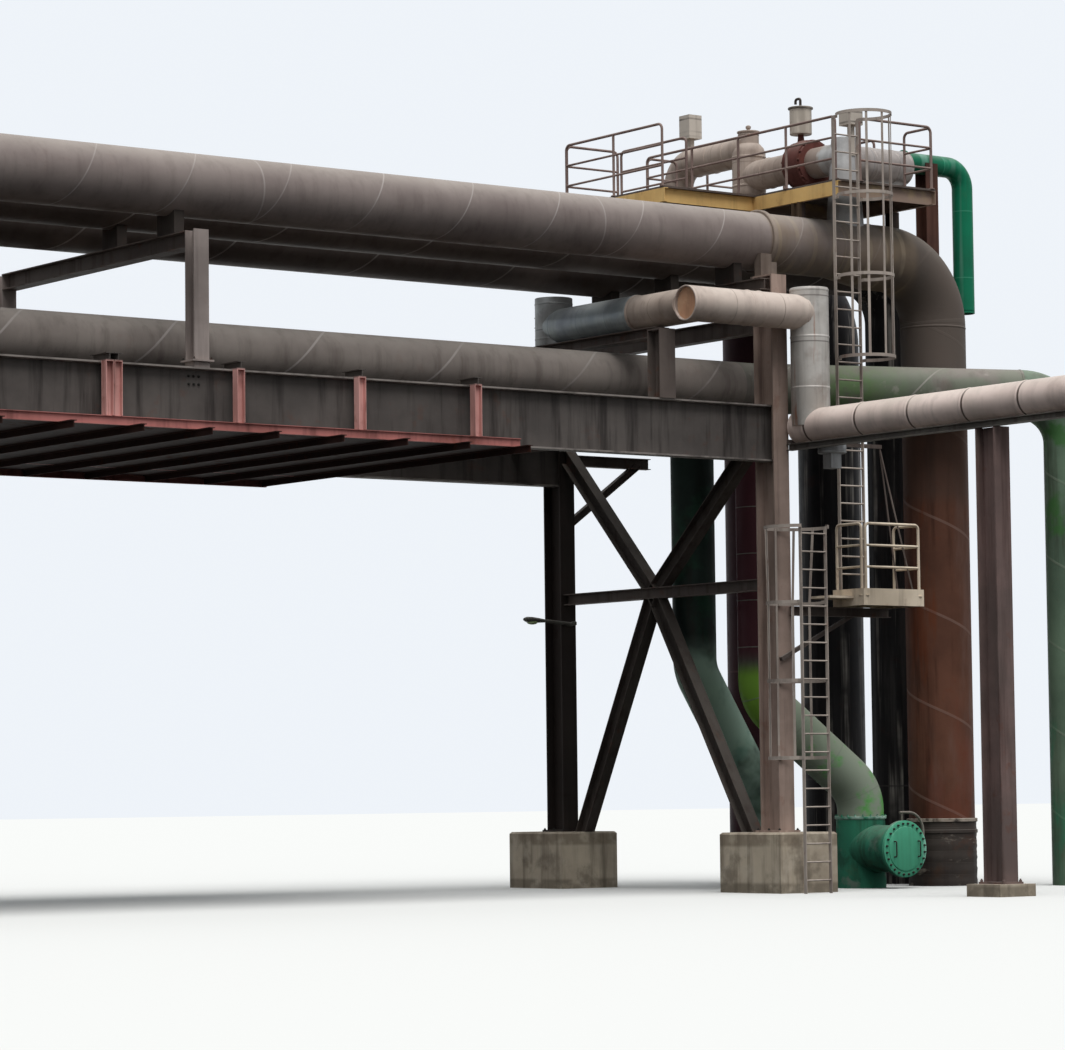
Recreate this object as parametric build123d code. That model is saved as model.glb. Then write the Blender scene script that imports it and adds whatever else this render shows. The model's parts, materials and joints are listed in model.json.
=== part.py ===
from build123d import *
from math import cos, pi, radians, sin, sqrt, tan
import os

# Frame: millimetres, X along the bridge, Y across it away from the ladders, Z up from the ground.
# The origin is on the ground, under the plinth of the near column at the riser end.

# Trestles
BAYS = 9
BAY = 2030
SPAN = BAYS * BAY
TRESTLE_X = (-100, -100 - SPAN)
BRIDGE_WIDTH = 5500
PLINTH_X = 1130
PLINTH_Y = 1450
PLINTH_HEIGHT = 920
PLINTH_CHAMFER = 30
COLUMN_TOP = 9530
COLUMN_DEPTH = 450
COLUMN_WIDTH = 300
COLUMN_WEB = 16
COLUMN_FLANGE = 28
CAP_PLATE = 25
BASE_PLATE = 30
BASE_PLATE_EDGE = 60
BRACE_DEPTH = 240
BRACE_WIDTH = 200
BRACE_WEB = 12
BRACE_FLANGE = 16
BRACE_NODE_Y = 2950
BRACE_TOP_Z = 7150
BRACE_FEET_Y = (620, 4900)
STRUT_Z = 4740
STRUT_DEPTH = 180
TIE_Z = 8790
TIE_DEPTH = 270
TIE_WIDTH = 200
HEAD_DEPTH = 180
HEAD_WIDTH = 180
HEAD_TOP = 9460
HEAD_END = 180

# Plate girders and the floor between them
GIRDER_BOTTOM = 6630
GIRDER_DEPTH = 870
GIRDER_WIDTH = 250
GIRDER_WEB = 14
GIRDER_FLANGE = 25
FLOOR_BEAM_DEPTH = 300
FLOOR_BEAM_WIDTH = 150
FLOOR_BEAM_WEB = 10
FLOOR_BEAM_FLANGE = 14
FLOOR_BEAM_DROP = 40

# Hung deck under the girders
DECK_START = 5170
RIB_PITCH = 1085
RIB_DEPTH = 100
RIB_WIDTH = 90
RIB_PLATE = 12
RIB_REACH = 380
DECK_FAR_Y = 6700
DECK_PLATE = 8
EDGE_HEIGHT = 125
EDGE_FLANGE = 60
EDGE_WALL = 10
EDGE_TOP = GIRDER_BOTTOM - DECK_PLATE + EDGE_HEIGHT
HANGER_START = 5865
HANGER_SIZE = 125
HANGER_WALL = 10
HANGER_GAP = 5
HOOK_PLATE = 16
HOOK_HEIGHT = 105
HOOK_REACH = 60
DOUBLE_HANGER_X = -11990

# Goalpost that carries the upper pipes at mid span
GOALPOST_X = -10480
GOALPOST_TOP = 9430
GOALPOST_SIZE = 240
GOALPOST_WEB = 12
GOALPOST_FLANGE = 18
GOALPOST_BASE = 25
GOALPOST_BASE_EDGE = 170
GOALPOST_BLOCK = 80

# Upper pipes: near, middle and far
PIPE_END = 1000
NEAR_Y = 700
NEAR_Z = 10170
NEAR_RADIUS = 460
NEAR_RISER_X = 3955
NEAR_RISER_RADIUS = 530
REDUCER_START = 1700
REDUCER_LENGTH = 800
MIDDLE_Y = 2250
MIDDLE_RADIUS = 420
FAR_Y = 3850
FAR_RADIUS = 530
BACK_PIPE_Z = 10130
BACK_RISER_X = 4420
BRANCH_X = 2760
BRANCH_RADIUS = 500
BEND_RATIO = 2.0
END_FLANGE_EDGE = 90
END_FLANGE = 60
SLEEVE_HEIGHT = 1080
SLEEVE_WALL = 25
SLEEVE_BAND = 60
SLEEVE_BAND_WALL = 15
SADDLE_WIDTH = 160

# Lower pipes on the floor beams
LOWER_Y = 1450
LOWER_Z = 7950
LOWER_RADIUS = 400
LOWER_TURN_X = 700
LOWER_TURN = 30
LOWER_RUN = 5160
LOWER_FALL = 120
SECOND_Y = 2750
SECOND_Z = 7900
SECOND_RADIUS = 350
SECOND_DROP_X = 530
SECOND_SHIFT = 1450
SECOND_BEND_TOP = 3500
SECOND_BEND_LOW = 1200

# Drop with its tee and blind cover
DROP_X = 790
DROP_RADIUS = 370
DROP_BEND_TOP = 3000
DROP_BEND_LOW = 1540
TEE_X = 2295
TEE_Y = 800
TEE_RADIUS = 390
TEE_TOP = 1130
TEE_BRANCH_Z = 620
TEE_BRANCH_RADIUS = 370
TEE_BRANCH_REACH = 1000
TEE_COLLAR = 40
COVER_RADIUS = 445
COVER_THICKNESS = 50
COVER_DISH = 18
HANDLE_SIDE = 250
HANDLE_HALF = 120
DAVIT_ROD = 22
DAVIT_TOP = 1190
DAVIT_FOOT = 450
DAVIT_BEND = 300

# Insulated pipework round the near column
LAGGED_Y = -560
LAGGED_Z = 8905
OUTRUN_Z = 7155
LAGGED_RADIUS = 270
LAGGED_OPEN_X = -2240
LAGGED_COLLAR = 14
LAGGED_COLLARS = (-1080, -850, 0)
GREY_COLLARS = (OUTRUN_Z + 560, LAGGED_Z - 400)
OPEN_END_DEPTH = 60
OPEN_END_WALL = 22
GREY_RISER_X = 225
GREY_RISER_RADIUS = 300
GREY_RISER_TOP = 9290
OUTRUN_RADIUS = 262
OUTRUN_END = -6500
BACKRUN_X = -2000
BACKRUN_END = 3050
CLAD_START = 870
CLAD_RADIUS = 290
DRUM_RADIUS = 300
DRUM_BOTTOM = LAGGED_Z - CLAD_RADIUS
DRUM_TOP = 9380
SHORT_POST_X = -2260
SHORT_POST_SIZE = 300
SHORT_POST_TOP = 8560
TRAP_X = 390
TRAP_Y = -850
TRAP_RADIUS = 220
TRAP_HEIGHT = 210
TRAP_SINK = 30
TRAP_BOX = 210
TRAP_BOX_HEIGHT = 230

# Outrigger that carries the insulated outrun
OUTRIGGER_X = 60
OUTRIGGER_TOP = 6890
OUTRIGGER_DEPTH = 100
OUTRIGGER_WIDTH = 120
OUTRIGGER_END = -6350
OUTRIGGER_COLUMN_X = 160
OUTRIGGER_COLUMN_Y = -4650
OUTRIGGER_COLUMN_DEPTH = 400
OUTRIGGER_SLAB = 700
OUTRIGGER_SLAB_HEIGHT = 180

# Heights of the gallery and of the lower platform
GALLERY_TOP = 11120
LANDING_TOP = 4640

# Ladders and their cages
RUNG_PITCH = 276
RUNG_RADIUS = 13
RAIL_THICK = 14
RAIL_DEEP = 65
LADDER_WIDTH = 500
LOWER_LADDER_X = -275
LOWER_LADDER_Y = -1130
LOWER_LADDER_TOP = 5560
UPPER_LADDER_X = 1180
UPPER_LADDER_Y = -380
UPPER_LADDER_TOP = GALLERY_TOP + 940
CAGE_RADIUS = 440
CAGE_STRAP = 50
CAGE_WALL = 8
CAGE_FLARE = 60
CAGE_STRAPS = 5
LOWER_HOOPS = (2050, 3220, 4410, 5560)
HOOP_PITCH = 1270
UPPER_HOOPS = [UPPER_LADDER_TOP - HOOP_PITCH * step for step in (3, 2, 1, 0)]
UPPER_FIRST_RUNG = 260

# Lower platform
LANDING_X = 740
LANDING_LENGTH = 1240
LANDING_Y = -1130
LANDING_DEPTH = 720
LANDING_FASCIA = 150
LANDING_TOE = 110
LANDING_STEP = 480
BRACKET_DEPTH = 140
BRACKET_START = 12
KNEE_START = -200
KNEE_FOOT = 3570
KNEE_SIZE = 60
RAILING_HEIGHT = 1000
RAIL_RADIUS = 22
ROD_RADIUS = 14
ROD_TOP = 6980

# Gallery over the upper pipes
GALLERY_X = 1080
GALLERY_LENGTH = 2070
GALLERY_Y = -300
GALLERY_DEPTH = 4900
GALLERY_CHANNEL = 220
GALLERY_CHANNEL_WIDTH = 80
GALLERY_CHANNEL_WALL = 9
GALLERY_PLATE = 30
SIDE_X = -800
SIDE_Y = 1700
SIDE_DEPTH = 2650
SIDE_RAILED = (1140, 1800)
STUB_SIZE = 160
RAIL_POST_PITCH = 1300

# Valve train on the gallery
TRAIN_X = 2100
TRAIN_Z = GALLERY_TOP + 560
TRAIN_RADIUS = 250
TRAIN_HIGH_Z = TRAIN_Z + 450
TRAIN_BACK = 4950
RAILING_GAP = 40
TRAIN_BEND = 420
VALVE_Y = 1600
VALVE_RADIUS = 410
VALVE_LENGTH = 420
VALVE_FLANGE = 60
BRANCH_POT_Y = 3080
BRANCH_POT_RADIUS = 175
BRANCH_POT_TOP = TRAIN_Z + 770
VESSEL_RADIUS = 280
VESSEL_BOTTOM = GALLERY_TOP + 160
VESSEL_TOP = TRAIN_Z + 570
CANISTER_Y = 1750
CANISTER_RADIUS = 180
CANISTER_BOTTOM = TRAIN_Z + 520
CANISTER_TOP = CANISTER_BOTTOM + 420
BOX_SIDE = 270
NEAR_BOX_Y = 520
NEAR_BOX_BOTTOM = TRAIN_Z + 490
NEAR_BOX_HEIGHT = 230
FAR_BOX_Y = 4600
FAR_BOX_BOTTOM = TRAIN_Z + 860
FAR_BOX_HEIGHT = 400
CONE_TOP_RADIUS = 200
CONE_FOOT_RADIUS = 330
SILVER_Y = 760
SILVER_Z = TRAIN_Z - 60
SILVER_RADIUS = 280
SILVER_END = 3420
VENT_RADIUS = 170
VENT_WALL = 10
VENT_X = 4720
VENT_END = 9330
VENT_POST_X = 3880
VENT_POST_SIZE = 260

# Bracket and lamp on the far column
FAR_BRACKET_TOP = 7170
FAR_BRACKET_REACH = 1890
FAR_BRACKET_DEPTH = 180
FAR_KNEE_DROP = 1300
FAR_KNEE_REACH = 1600
LAMP_Z = 4330
LAMP_REACH = 770
LAMP_LENGTH = 480


def beam_profile(depth, width, web, flange):
    """I or H section with the flanges along local X and the web along local Y."""
    side = (width - web) / 2
    pocket = Rectangle(side, depth - 2 * flange)
    offset = (web + side) / 2
    return Rectangle(width, depth) - Pos(offset, 0) * pocket - Pos(-offset, 0) * pocket


def channel_profile(depth, width, wall, side=1):
    """Channel with its back on local X = 0 and its flanges towards the given side."""
    outer = Pos(side * width / 2, 0) * Rectangle(width, depth)
    return outer - Pos(side * (wall + width) / 2, 0) * Rectangle(width - wall, depth - 2 * wall)


def member(profile, start, end, up=(0, 0, 1)):
    """A profile carried straight from start to end, its local Y towards up."""
    origin = Vector(*start)
    axis = Vector(*end) - origin
    plane = Plane(origin=origin, x_dir=Vector(*up).cross(axis), z_dir=axis)
    return extrude(plane * profile, amount=axis.length)


def round_bar(start, end, radius):
    """A bar of six sides from start to end."""
    up = (0, 0, 1) if start[0] != end[0] or start[1] != end[1] else (0, 1, 0)
    return member(RegularPolygon(radius, 6), start, end, up)


def box(x, y, z):
    """A plate or block between two limits on each axis."""
    size = [limits[1] - limits[0] for limits in (x, y, z)]
    centre = [(limits[0] + limits[1]) / 2 for limits in (x, y, z)]
    return Pos(*centre) * Box(*size)


def pipe(points, radius, bend=0):
    """A round pipe along straight runs that bends of one radius join."""
    path = FilletPolyline(*points, radius=bend) if bend else Polyline(*points)
    return sweep(Plane(origin=path @ 0, z_dir=path % 0) * Circle(radius), path=path)


def disc(centre, axis, radius, thickness):
    """A flat round plate that starts at centre and grows along axis."""
    plane = Plane(origin=centre, z_dir=axis)
    return extrude(plane * Circle(radius), amount=thickness)


def together(pieces):
    """All pieces fused where they touch."""
    whole = pieces[0]
    return whole.fuse(*pieces[1:]) if len(pieces) > 1 else whole


def plinth_blocks():
    """Four concrete plinths with chamfered top edges."""
    blocks = []
    for x in TRESTLE_X:
        for y in (0, BRIDGE_WIDTH):
            block = Pos(x, y, PLINTH_HEIGHT / 2) * Box(PLINTH_X, PLINTH_Y, PLINTH_HEIGHT)
            top = block.faces().sort_by(Axis.Z)[-1].edges()
            blocks.append(chamfer(top, PLINTH_CHAMFER))
    return blocks


def column(x, y):
    """One column with its base plate and cap plate."""
    profile = beam_profile(COLUMN_DEPTH, COLUMN_WIDTH, COLUMN_WEB, COLUMN_FLANGE)
    foot = PLINTH_HEIGHT + BASE_PLATE
    shaft = member(profile, (x, y, foot), (x, y, COLUMN_TOP - CAP_PLATE), (0, 1, 0))
    half_x = COLUMN_WIDTH / 2
    half_y = COLUMN_DEPTH / 2
    base_x = half_x + BASE_PLATE_EDGE
    base_y = half_y + BASE_PLATE_EDGE
    base = box((x - base_x, x + base_x), (y - base_y, y + base_y), (PLINTH_HEIGHT, foot))
    cap = box((x - half_x, x + half_x), (y - half_y, y + half_y), (COLUMN_TOP - CAP_PLATE, COLUMN_TOP))
    return together([base, shaft, cap])


def columns():
    return [column(x, y) for x in TRESTLE_X for y in (0, BRIDGE_WIDTH)]


def brace_profile():
    return beam_profile(BRACE_DEPTH, BRACE_WIDTH, BRACE_WEB, BRACE_FLANGE)


def limb(x, foot, head):
    """One limb of the bracing, longer than needed so that what it meets trims its ends."""
    axis = Vector(0, head[0] - foot[0], head[1] - foot[1]).normalized() * BRACE_DEPTH
    start = Vector(x, *foot) - axis
    end = Vector(x, *head) + axis
    return member(brace_profile(), tuple(start), tuple(end))


def upper_braces():
    """Two limbs from the middle of each strut up to the columns."""
    near = COLUMN_DEPTH / 2
    node = (BRACE_NODE_Y, STRUT_Z)
    pairs = []
    for x in TRESTLE_X:
        limbs = [limb(x, node, (y, BRACE_TOP_Z)) for y in (near, BRIDGE_WIDTH - near)]
        room = box((x - COLUMN_WIDTH, x + COLUMN_WIDTH), (near, BRIDGE_WIDTH - near),
                   (STRUT_Z + STRUT_DEPTH / 2, COLUMN_TOP))
        pairs.append(together(limbs) & room)
    return pairs


def lower_braces():
    """Two limbs from the middle of each strut down to the plinths."""
    node = (BRACE_NODE_Y, STRUT_Z)
    pairs = []
    for x in TRESTLE_X:
        limbs = [limb(x, (y, PLINTH_HEIGHT), node) for y in BRACE_FEET_Y]
        room = box((x - COLUMN_WIDTH, x + COLUMN_WIDTH), (0, BRIDGE_WIDTH),
                   (PLINTH_HEIGHT, STRUT_Z - STRUT_DEPTH / 2))
        pairs.append(together(limbs) & room)
    return pairs


def struts():
    """The level strut that the limbs of the bracing meet on."""
    near = COLUMN_DEPTH / 2
    profile = beam_profile(STRUT_DEPTH, BRACE_WIDTH, BRACE_WEB, BRACE_FLANGE)
    return [member(profile, (x, near, STRUT_Z), (x, BRIDGE_WIDTH - near, STRUT_Z)) for x in TRESTLE_X]


def ties():
    """The level tie between the columns above the lower pipes."""
    near = COLUMN_DEPTH / 2
    profile = beam_profile(TIE_DEPTH, TIE_WIDTH, BRACE_WEB, BRACE_FLANGE)
    return [member(profile, (x, near, TIE_Z), (x, BRIDGE_WIDTH - near, TIE_Z)) for x in TRESTLE_X]


def head_x(x):
    """Middle of the head beam, which lies against the flange tips of its columns."""
    return x - (COLUMN_WIDTH + HEAD_WIDTH) / 2


def head_beams():
    """The beams that the upper pipes cross the trestles on."""
    profile = beam_profile(HEAD_DEPTH, HEAD_WIDTH, BRACE_WEB, BRACE_FLANGE)
    level = HEAD_TOP - HEAD_DEPTH / 2
    far = BRIDGE_WIDTH + HEAD_END
    return [member(profile, (head_x(x), -HEAD_END, level), (head_x(x), far, level)) for x in TRESTLE_X]


def girder(y):
    """One plate girder between the webs of its two columns."""
    profile = beam_profile(GIRDER_DEPTH, GIRDER_WIDTH, GIRDER_WEB, GIRDER_FLANGE)
    level = GIRDER_BOTTOM + GIRDER_DEPTH / 2
    start = TRESTLE_X[1] + COLUMN_WEB / 2
    end = TRESTLE_X[0] - COLUMN_WEB / 2
    return member(profile, (start, y, level), (end, y, level))


def floor_beams():
    """The cross beams between the girders, one to each bay line."""
    profile = beam_profile(FLOOR_BEAM_DEPTH, FLOOR_BEAM_WIDTH, FLOOR_BEAM_WEB, FLOOR_BEAM_FLANGE)
    level = floor_top() - FLOOR_BEAM_DEPTH / 2
    near = GIRDER_WEB / 2
    far = BRIDGE_WIDTH - near
    return [member(profile, (x, near, level), (x, far, level)) for x in floor_lines()]


def floor_lines():
    return [-BAY * (index + 0.5) for index in range(BAYS)]


def floor_top():
    return GIRDER_BOTTOM + GIRDER_DEPTH - GIRDER_FLANGE - FLOOR_BEAM_DROP


def edge_y():
    """Backs of the near and far edge channels, just outside the hangers."""
    out = GIRDER_WIDTH / 2 + HANGER_GAP + HANGER_SIZE / 2
    return -out, BRIDGE_WIDTH + out


def rib_lines():
    count = int((SPAN - COLUMN_WIDTH - DECK_START) / RIB_PITCH) + 1
    return [-DECK_START - RIB_PITCH * index for index in range(count)]


def deck_ribs():
    """The ribs under the deck, whose ends stick out past the edge channels."""
    low = EDGE_TOP - EDGE_HEIGHT - RIB_DEPTH
    near, _ = edge_y()
    profile = Pos(0, RIB_DEPTH - RIB_PLATE / 2) * Rectangle(RIB_WIDTH, RIB_PLATE)
    profile += Pos(0, RIB_DEPTH / 2) * Rectangle(RIB_PLATE, RIB_DEPTH)
    return [member(profile, (x, near - RIB_REACH, low), (x, DECK_FAR_Y, low)) for x in rib_lines()]


def deck_plate():
    """The plate on the ribs: between the two edge channels, and outside the far one."""
    low = EDGE_TOP - EDGE_HEIGHT
    near, far = edge_y()
    lines = rib_lines()
    inner = EDGE_FLANGE / 2 + 1
    length = (lines[-1] - RIB_WIDTH, lines[0] + RIB_WIDTH)
    level = (low, low + DECK_PLATE)
    return [box(length, (near + inner, far - inner), level), box(length, (far + inner, DECK_FAR_Y), level)]


def edge_channels():
    """The red channels along both edges of the deck, and the one that closes the ends of the ribs."""
    lines = rib_lines()
    level = EDGE_TOP - EDGE_HEIGHT / 2
    profile = beam_profile(EDGE_HEIGHT, EDGE_FLANGE, EDGE_WALL, EDGE_WALL)
    start = lines[-1] - RIB_WIDTH
    end = lines[0] + RIB_WIDTH
    edges = [member(profile, (start, y, level), (end, y, level)) for y in edge_y()]
    depth = RIB_DEPTH + DECK_PLATE
    middle = EDGE_TOP - EDGE_HEIGHT + DECK_PLATE - depth / 2
    closing = channel_profile(depth, EDGE_FLANGE, EDGE_WALL)
    far = member(closing, (start, DECK_FAR_Y, middle), (end, DECK_FAR_Y, middle))
    return edges + [far]


def hanger_lines():
    """Where the hangers stand, one of them doubled at the joint of the deck."""
    count = int((SPAN - COLUMN_WIDTH - HANGER_START) / BAY) + 1
    lines = [-HANGER_START - BAY * index for index in range(count)]
    pair = HANGER_SIZE / 2 + HANGER_GAP
    doubled = min(lines, key=lambda x: abs(x - DOUBLE_HANGER_X))
    single = [x for x in lines if x != doubled]
    return single + [doubled + pair, doubled - pair]


def hanger(x, side):
    """A post from the edge channel up to a short beam that lies across the girder's top flange."""
    girder_y = 0 if side < 0 else BRIDGE_WIDTH
    y = edge_y()[0 if side < 0 else 1]
    top = GIRDER_BOTTOM + GIRDER_DEPTH
    half = HANGER_SIZE / 2
    profile = beam_profile(HANGER_SIZE, HANGER_SIZE, HANGER_WALL, HANGER_WALL)
    post = member(profile, (x, y, EDGE_TOP), (x, y, top - HOOK_PLATE), (1, 0, 0))
    cap = box((x - half, x + half), (y - half, y + half), (top - HOOK_PLATE, top))
    outer = y + side * half
    inner = girder_y - side * (GIRDER_WIDTH / 2 + HOOK_REACH)
    level = top + HOOK_HEIGHT / 2
    hook = member(beam_profile(HOOK_HEIGHT, HANGER_SIZE, HANGER_WALL, HANGER_WALL),
                  (x, min(outer, inner), level), (x, max(outer, inner), level))
    return together([post, cap, hook])


def hangers(side):
    return [hanger(x, side) for x in hanger_lines()]


def goalpost_profile():
    return beam_profile(GOALPOST_SIZE, GOALPOST_SIZE, GOALPOST_WEB, GOALPOST_FLANGE)


def goalpost_post(y):
    """One post with its base plate, on a block on the top flange of its girder."""
    low = GIRDER_BOTTOM + GIRDER_DEPTH
    half = GIRDER_WIDTH / 2
    edge = GOALPOST_BASE_EDGE
    plate = low + GOALPOST_BLOCK
    foot = plate + GOALPOST_BASE
    block = box((GOALPOST_X - half, GOALPOST_X + half), (y - half, y + half), (low, plate))
    base = box((GOALPOST_X - edge, GOALPOST_X + edge), (y - edge, y + edge), (plate, foot))
    shaft = member(goalpost_profile(), (GOALPOST_X, y, foot), (GOALPOST_X, y, GOALPOST_TOP), (0, 1, 0))
    return together([block, base, shaft])


def goalpost_beam():
    """The beam between the two posts."""
    level = GOALPOST_TOP - GOALPOST_SIZE / 2
    near = GOALPOST_SIZE / 2
    return member(goalpost_profile(), (GOALPOST_X, near, level), (GOALPOST_X, BRIDGE_WIDTH - near, level))


def end_flange(x, y, z, radius):
    """The blind flange at the far left end of a run."""
    return disc((x, y, z), (1, 0, 0), radius + END_FLANGE_EDGE, END_FLANGE)


def run_end():
    return -SPAN - PIPE_END


def near_pipe():
    """The near upper pipe, with the reducer that widens it towards its riser, flat on top."""
    run = pipe([(run_end(), NEAR_Y, NEAR_Z), (REDUCER_START, NEAR_Y, NEAR_Z)], NEAR_RADIUS)
    wide_z = near_riser_z()
    end = REDUCER_START + REDUCER_LENGTH
    small = Plane(origin=(REDUCER_START, NEAR_Y, NEAR_Z), z_dir=(1, 0, 0)) * Circle(NEAR_RADIUS)
    large = Plane(origin=(end, NEAR_Y, wide_z), z_dir=(1, 0, 0)) * Circle(NEAR_RISER_RADIUS)
    cone = loft([small, large])
    return together([run, cone, end_flange(run_end(), NEAR_Y, NEAR_Z, NEAR_RADIUS)])


def near_riser_z():
    return NEAR_Z + NEAR_RADIUS - NEAR_RISER_RADIUS


def near_riser():
    """The elbow and the riser down to the ground."""
    points = [(REDUCER_START + REDUCER_LENGTH, NEAR_Y, near_riser_z()),
              (NEAR_RISER_X, NEAR_Y, near_riser_z()),
              (NEAR_RISER_X, NEAR_Y, 0)]
    return pipe(points, NEAR_RISER_RADIUS, NEAR_RISER_RADIUS * BEND_RATIO)


def base_sleeve():
    """The wrapped sleeve round the foot of the near riser, with its two bands."""
    outer = NEAR_RISER_RADIUS + SLEEVE_WALL
    sleeve = disc((NEAR_RISER_X, NEAR_Y, 0), (0, 0, 1), outer, SLEEVE_HEIGHT)
    for low in (SLEEVE_HEIGHT - SLEEVE_BAND, SLEEVE_HEIGHT - 4 * SLEEVE_BAND):
        sleeve += disc((NEAR_RISER_X, NEAR_Y, low), (0, 0, 1), outer + SLEEVE_BAND_WALL, SLEEVE_BAND)
    return sleeve - disc((NEAR_RISER_X, NEAR_Y, 0), (0, 0, 1), NEAR_RISER_RADIUS, SLEEVE_HEIGHT)


def back_run(y, radius):
    """The level run of the middle or the far upper pipe, up to its elbow."""
    end = BACK_RISER_X - radius * BEND_RATIO
    run = pipe([(run_end(), y, BACK_PIPE_Z), (end, y, BACK_PIPE_Z)], radius)
    return together([run, end_flange(run_end(), y, BACK_PIPE_Z, radius)])


def back_riser(y, radius):
    """The elbow and the riser of the middle or the far upper pipe."""
    start = BACK_RISER_X - radius * BEND_RATIO
    points = [(start, y, BACK_PIPE_Z), (BACK_RISER_X, y, BACK_PIPE_Z), (BACK_RISER_X, y, 0)]
    bend = radius * BEND_RATIO - 1
    return pipe(points, radius, bend)


def branch_riser():
    """The maroon riser that branches down from the far upper pipe."""
    riser = pipe([(BRANCH_X, FAR_Y, 0), (BRANCH_X, FAR_Y, BACK_PIPE_Z)], BRANCH_RADIUS)
    return riser - back_run(FAR_Y, FAR_RADIUS)


def saddle(x, y, low, z, radius):
    """A saddle plate box from a beam up to the underside of a pipe."""
    half = radius * 0.5
    block = box((x - SADDLE_WIDTH / 2, x + SADDLE_WIDTH / 2), (y - half, y + half), (low, z - radius * 0.6))
    return block - pipe([(x - SADDLE_WIDTH, y, z), (x + SADDLE_WIDTH, y, z)], radius)


def upper_saddles():
    """The saddles of the upper pipes: three on each head beam, two on the goalpost."""
    pipes = ((NEAR_Y, NEAR_Z, NEAR_RADIUS),
             (MIDDLE_Y, BACK_PIPE_Z, MIDDLE_RADIUS),
             (FAR_Y, BACK_PIPE_Z, FAR_RADIUS))
    places = [(head_x(x), HEAD_TOP, pipes) for x in TRESTLE_X] + [(GOALPOST_X, GOALPOST_TOP, pipes[:2])]
    return [saddle(x, y, low, z, radius) for x, low, held in places for y, z, radius in held]


def lower_saddles():
    """The saddles of the two lower pipes, on every other floor beam."""
    pipes = ((LOWER_Y, LOWER_Z, LOWER_RADIUS), (SECOND_Y, SECOND_Z, SECOND_RADIUS))
    return [saddle(x, y, floor_top(), z, radius) for x in floor_lines()[::2] for y, z, radius in pipes]


def lower_path():
    """Corner points of the lower pipe: along the bridge, across to the right, down."""
    turn = radians(LOWER_TURN)
    end_x = LOWER_TURN_X + LOWER_RUN * cos(turn)
    end_y = LOWER_Y - LOWER_RUN * sin(turn)
    return [(LOWER_TURN_X, LOWER_Y, LOWER_Z), (end_x, end_y, LOWER_Z - LOWER_FALL), (end_x, end_y, 0)]


def lower_split():
    """X where the straight lower pipe hands over to its bend."""
    return LOWER_TURN_X - LOWER_RADIUS


def lower_pipe():
    """The straight lower pipe between the girders."""
    run = pipe([(run_end(), LOWER_Y, LOWER_Z), (lower_split(), LOWER_Y, LOWER_Z)], LOWER_RADIUS)
    return together([run, end_flange(run_end(), LOWER_Y, LOWER_Z, LOWER_RADIUS)])


def lower_turn_middle():
    """A point on the crosswise run where it meets the elbow of its riser."""
    turn_point, end_point, _ = lower_path()
    share = 1 - LOWER_RADIUS * BEND_RATIO / LOWER_RUN
    return tuple(a + (b - a) * share for a, b in zip(turn_point, end_point))


def lower_crossing():
    """The run that turns out of the bridge and passes in front of the near riser."""
    points = [(lower_split(), LOWER_Y, LOWER_Z), lower_path()[0], lower_turn_middle()]
    return pipe(points, LOWER_RADIUS, LOWER_RADIUS)


def green_riser():
    """The elbow and the green riser down to the ground."""
    points = [lower_turn_middle()] + lower_path()[1:]
    return pipe(points, LOWER_RADIUS, LOWER_RADIUS * BEND_RATIO - 20)


def second_pipe():
    """The second lower pipe, behind the first, up to its elbow."""
    end = SECOND_DROP_X - SECOND_RADIUS * BEND_RATIO
    run = pipe([(run_end(), SECOND_Y, SECOND_Z), (end, SECOND_Y, SECOND_Z)], SECOND_RADIUS)
    return together([run, end_flange(run_end(), SECOND_Y, SECOND_Z, SECOND_RADIUS)])


def second_drop():
    """The elbow and the green drop that swings sideways on its way to the ground."""
    low_x = SECOND_DROP_X + SECOND_SHIFT
    points = [(SECOND_DROP_X - SECOND_RADIUS * BEND_RATIO, SECOND_Y, SECOND_Z),
              (SECOND_DROP_X, SECOND_Y, SECOND_Z),
              (SECOND_DROP_X, SECOND_Y, SECOND_BEND_TOP),
              (low_x, SECOND_Y, SECOND_BEND_LOW),
              (low_x, SECOND_Y, 0)]
    return pipe(points, SECOND_RADIUS, SECOND_RADIUS * BEND_RATIO - 5)


def drop_y():
    """Y of the drop, under the middle of the crosswise run."""
    return LOWER_Y - (DROP_X - LOWER_TURN_X) * tan(radians(LOWER_TURN))


def drop_pipe():
    """The drop from the crosswise run, swung over to stand on the tee."""
    top = (DROP_X, drop_y(), LOWER_Z)
    points = [top, (DROP_X, drop_y(), DROP_BEND_TOP), (TEE_X, TEE_Y, DROP_BEND_LOW), (TEE_X, TEE_Y, TEE_TOP)]
    return pipe(points, DROP_RADIUS, 2 * DROP_RADIUS - 40) - lower_crossing()


def tee_piece():
    """The upright body of the tee with its branch and flange."""
    body = disc((TEE_X, TEE_Y, 0), (0, 0, 1), TEE_RADIUS, TEE_TOP)
    body += disc((TEE_X, TEE_Y, TEE_TOP - TEE_COLLAR), (0, 0, 1), TEE_RADIUS + TEE_COLLAR / 2, TEE_COLLAR)
    axis = (0, -1, 0)
    body += disc((TEE_X, TEE_Y, TEE_BRANCH_Z), axis, TEE_BRANCH_RADIUS, TEE_BRANCH_REACH)
    flange_y = TEE_Y - TEE_BRANCH_REACH + COVER_THICKNESS
    body += disc((TEE_X, flange_y, TEE_BRANCH_Z), axis, COVER_RADIUS, COVER_THICKNESS)
    return body + davit_arm()


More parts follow.
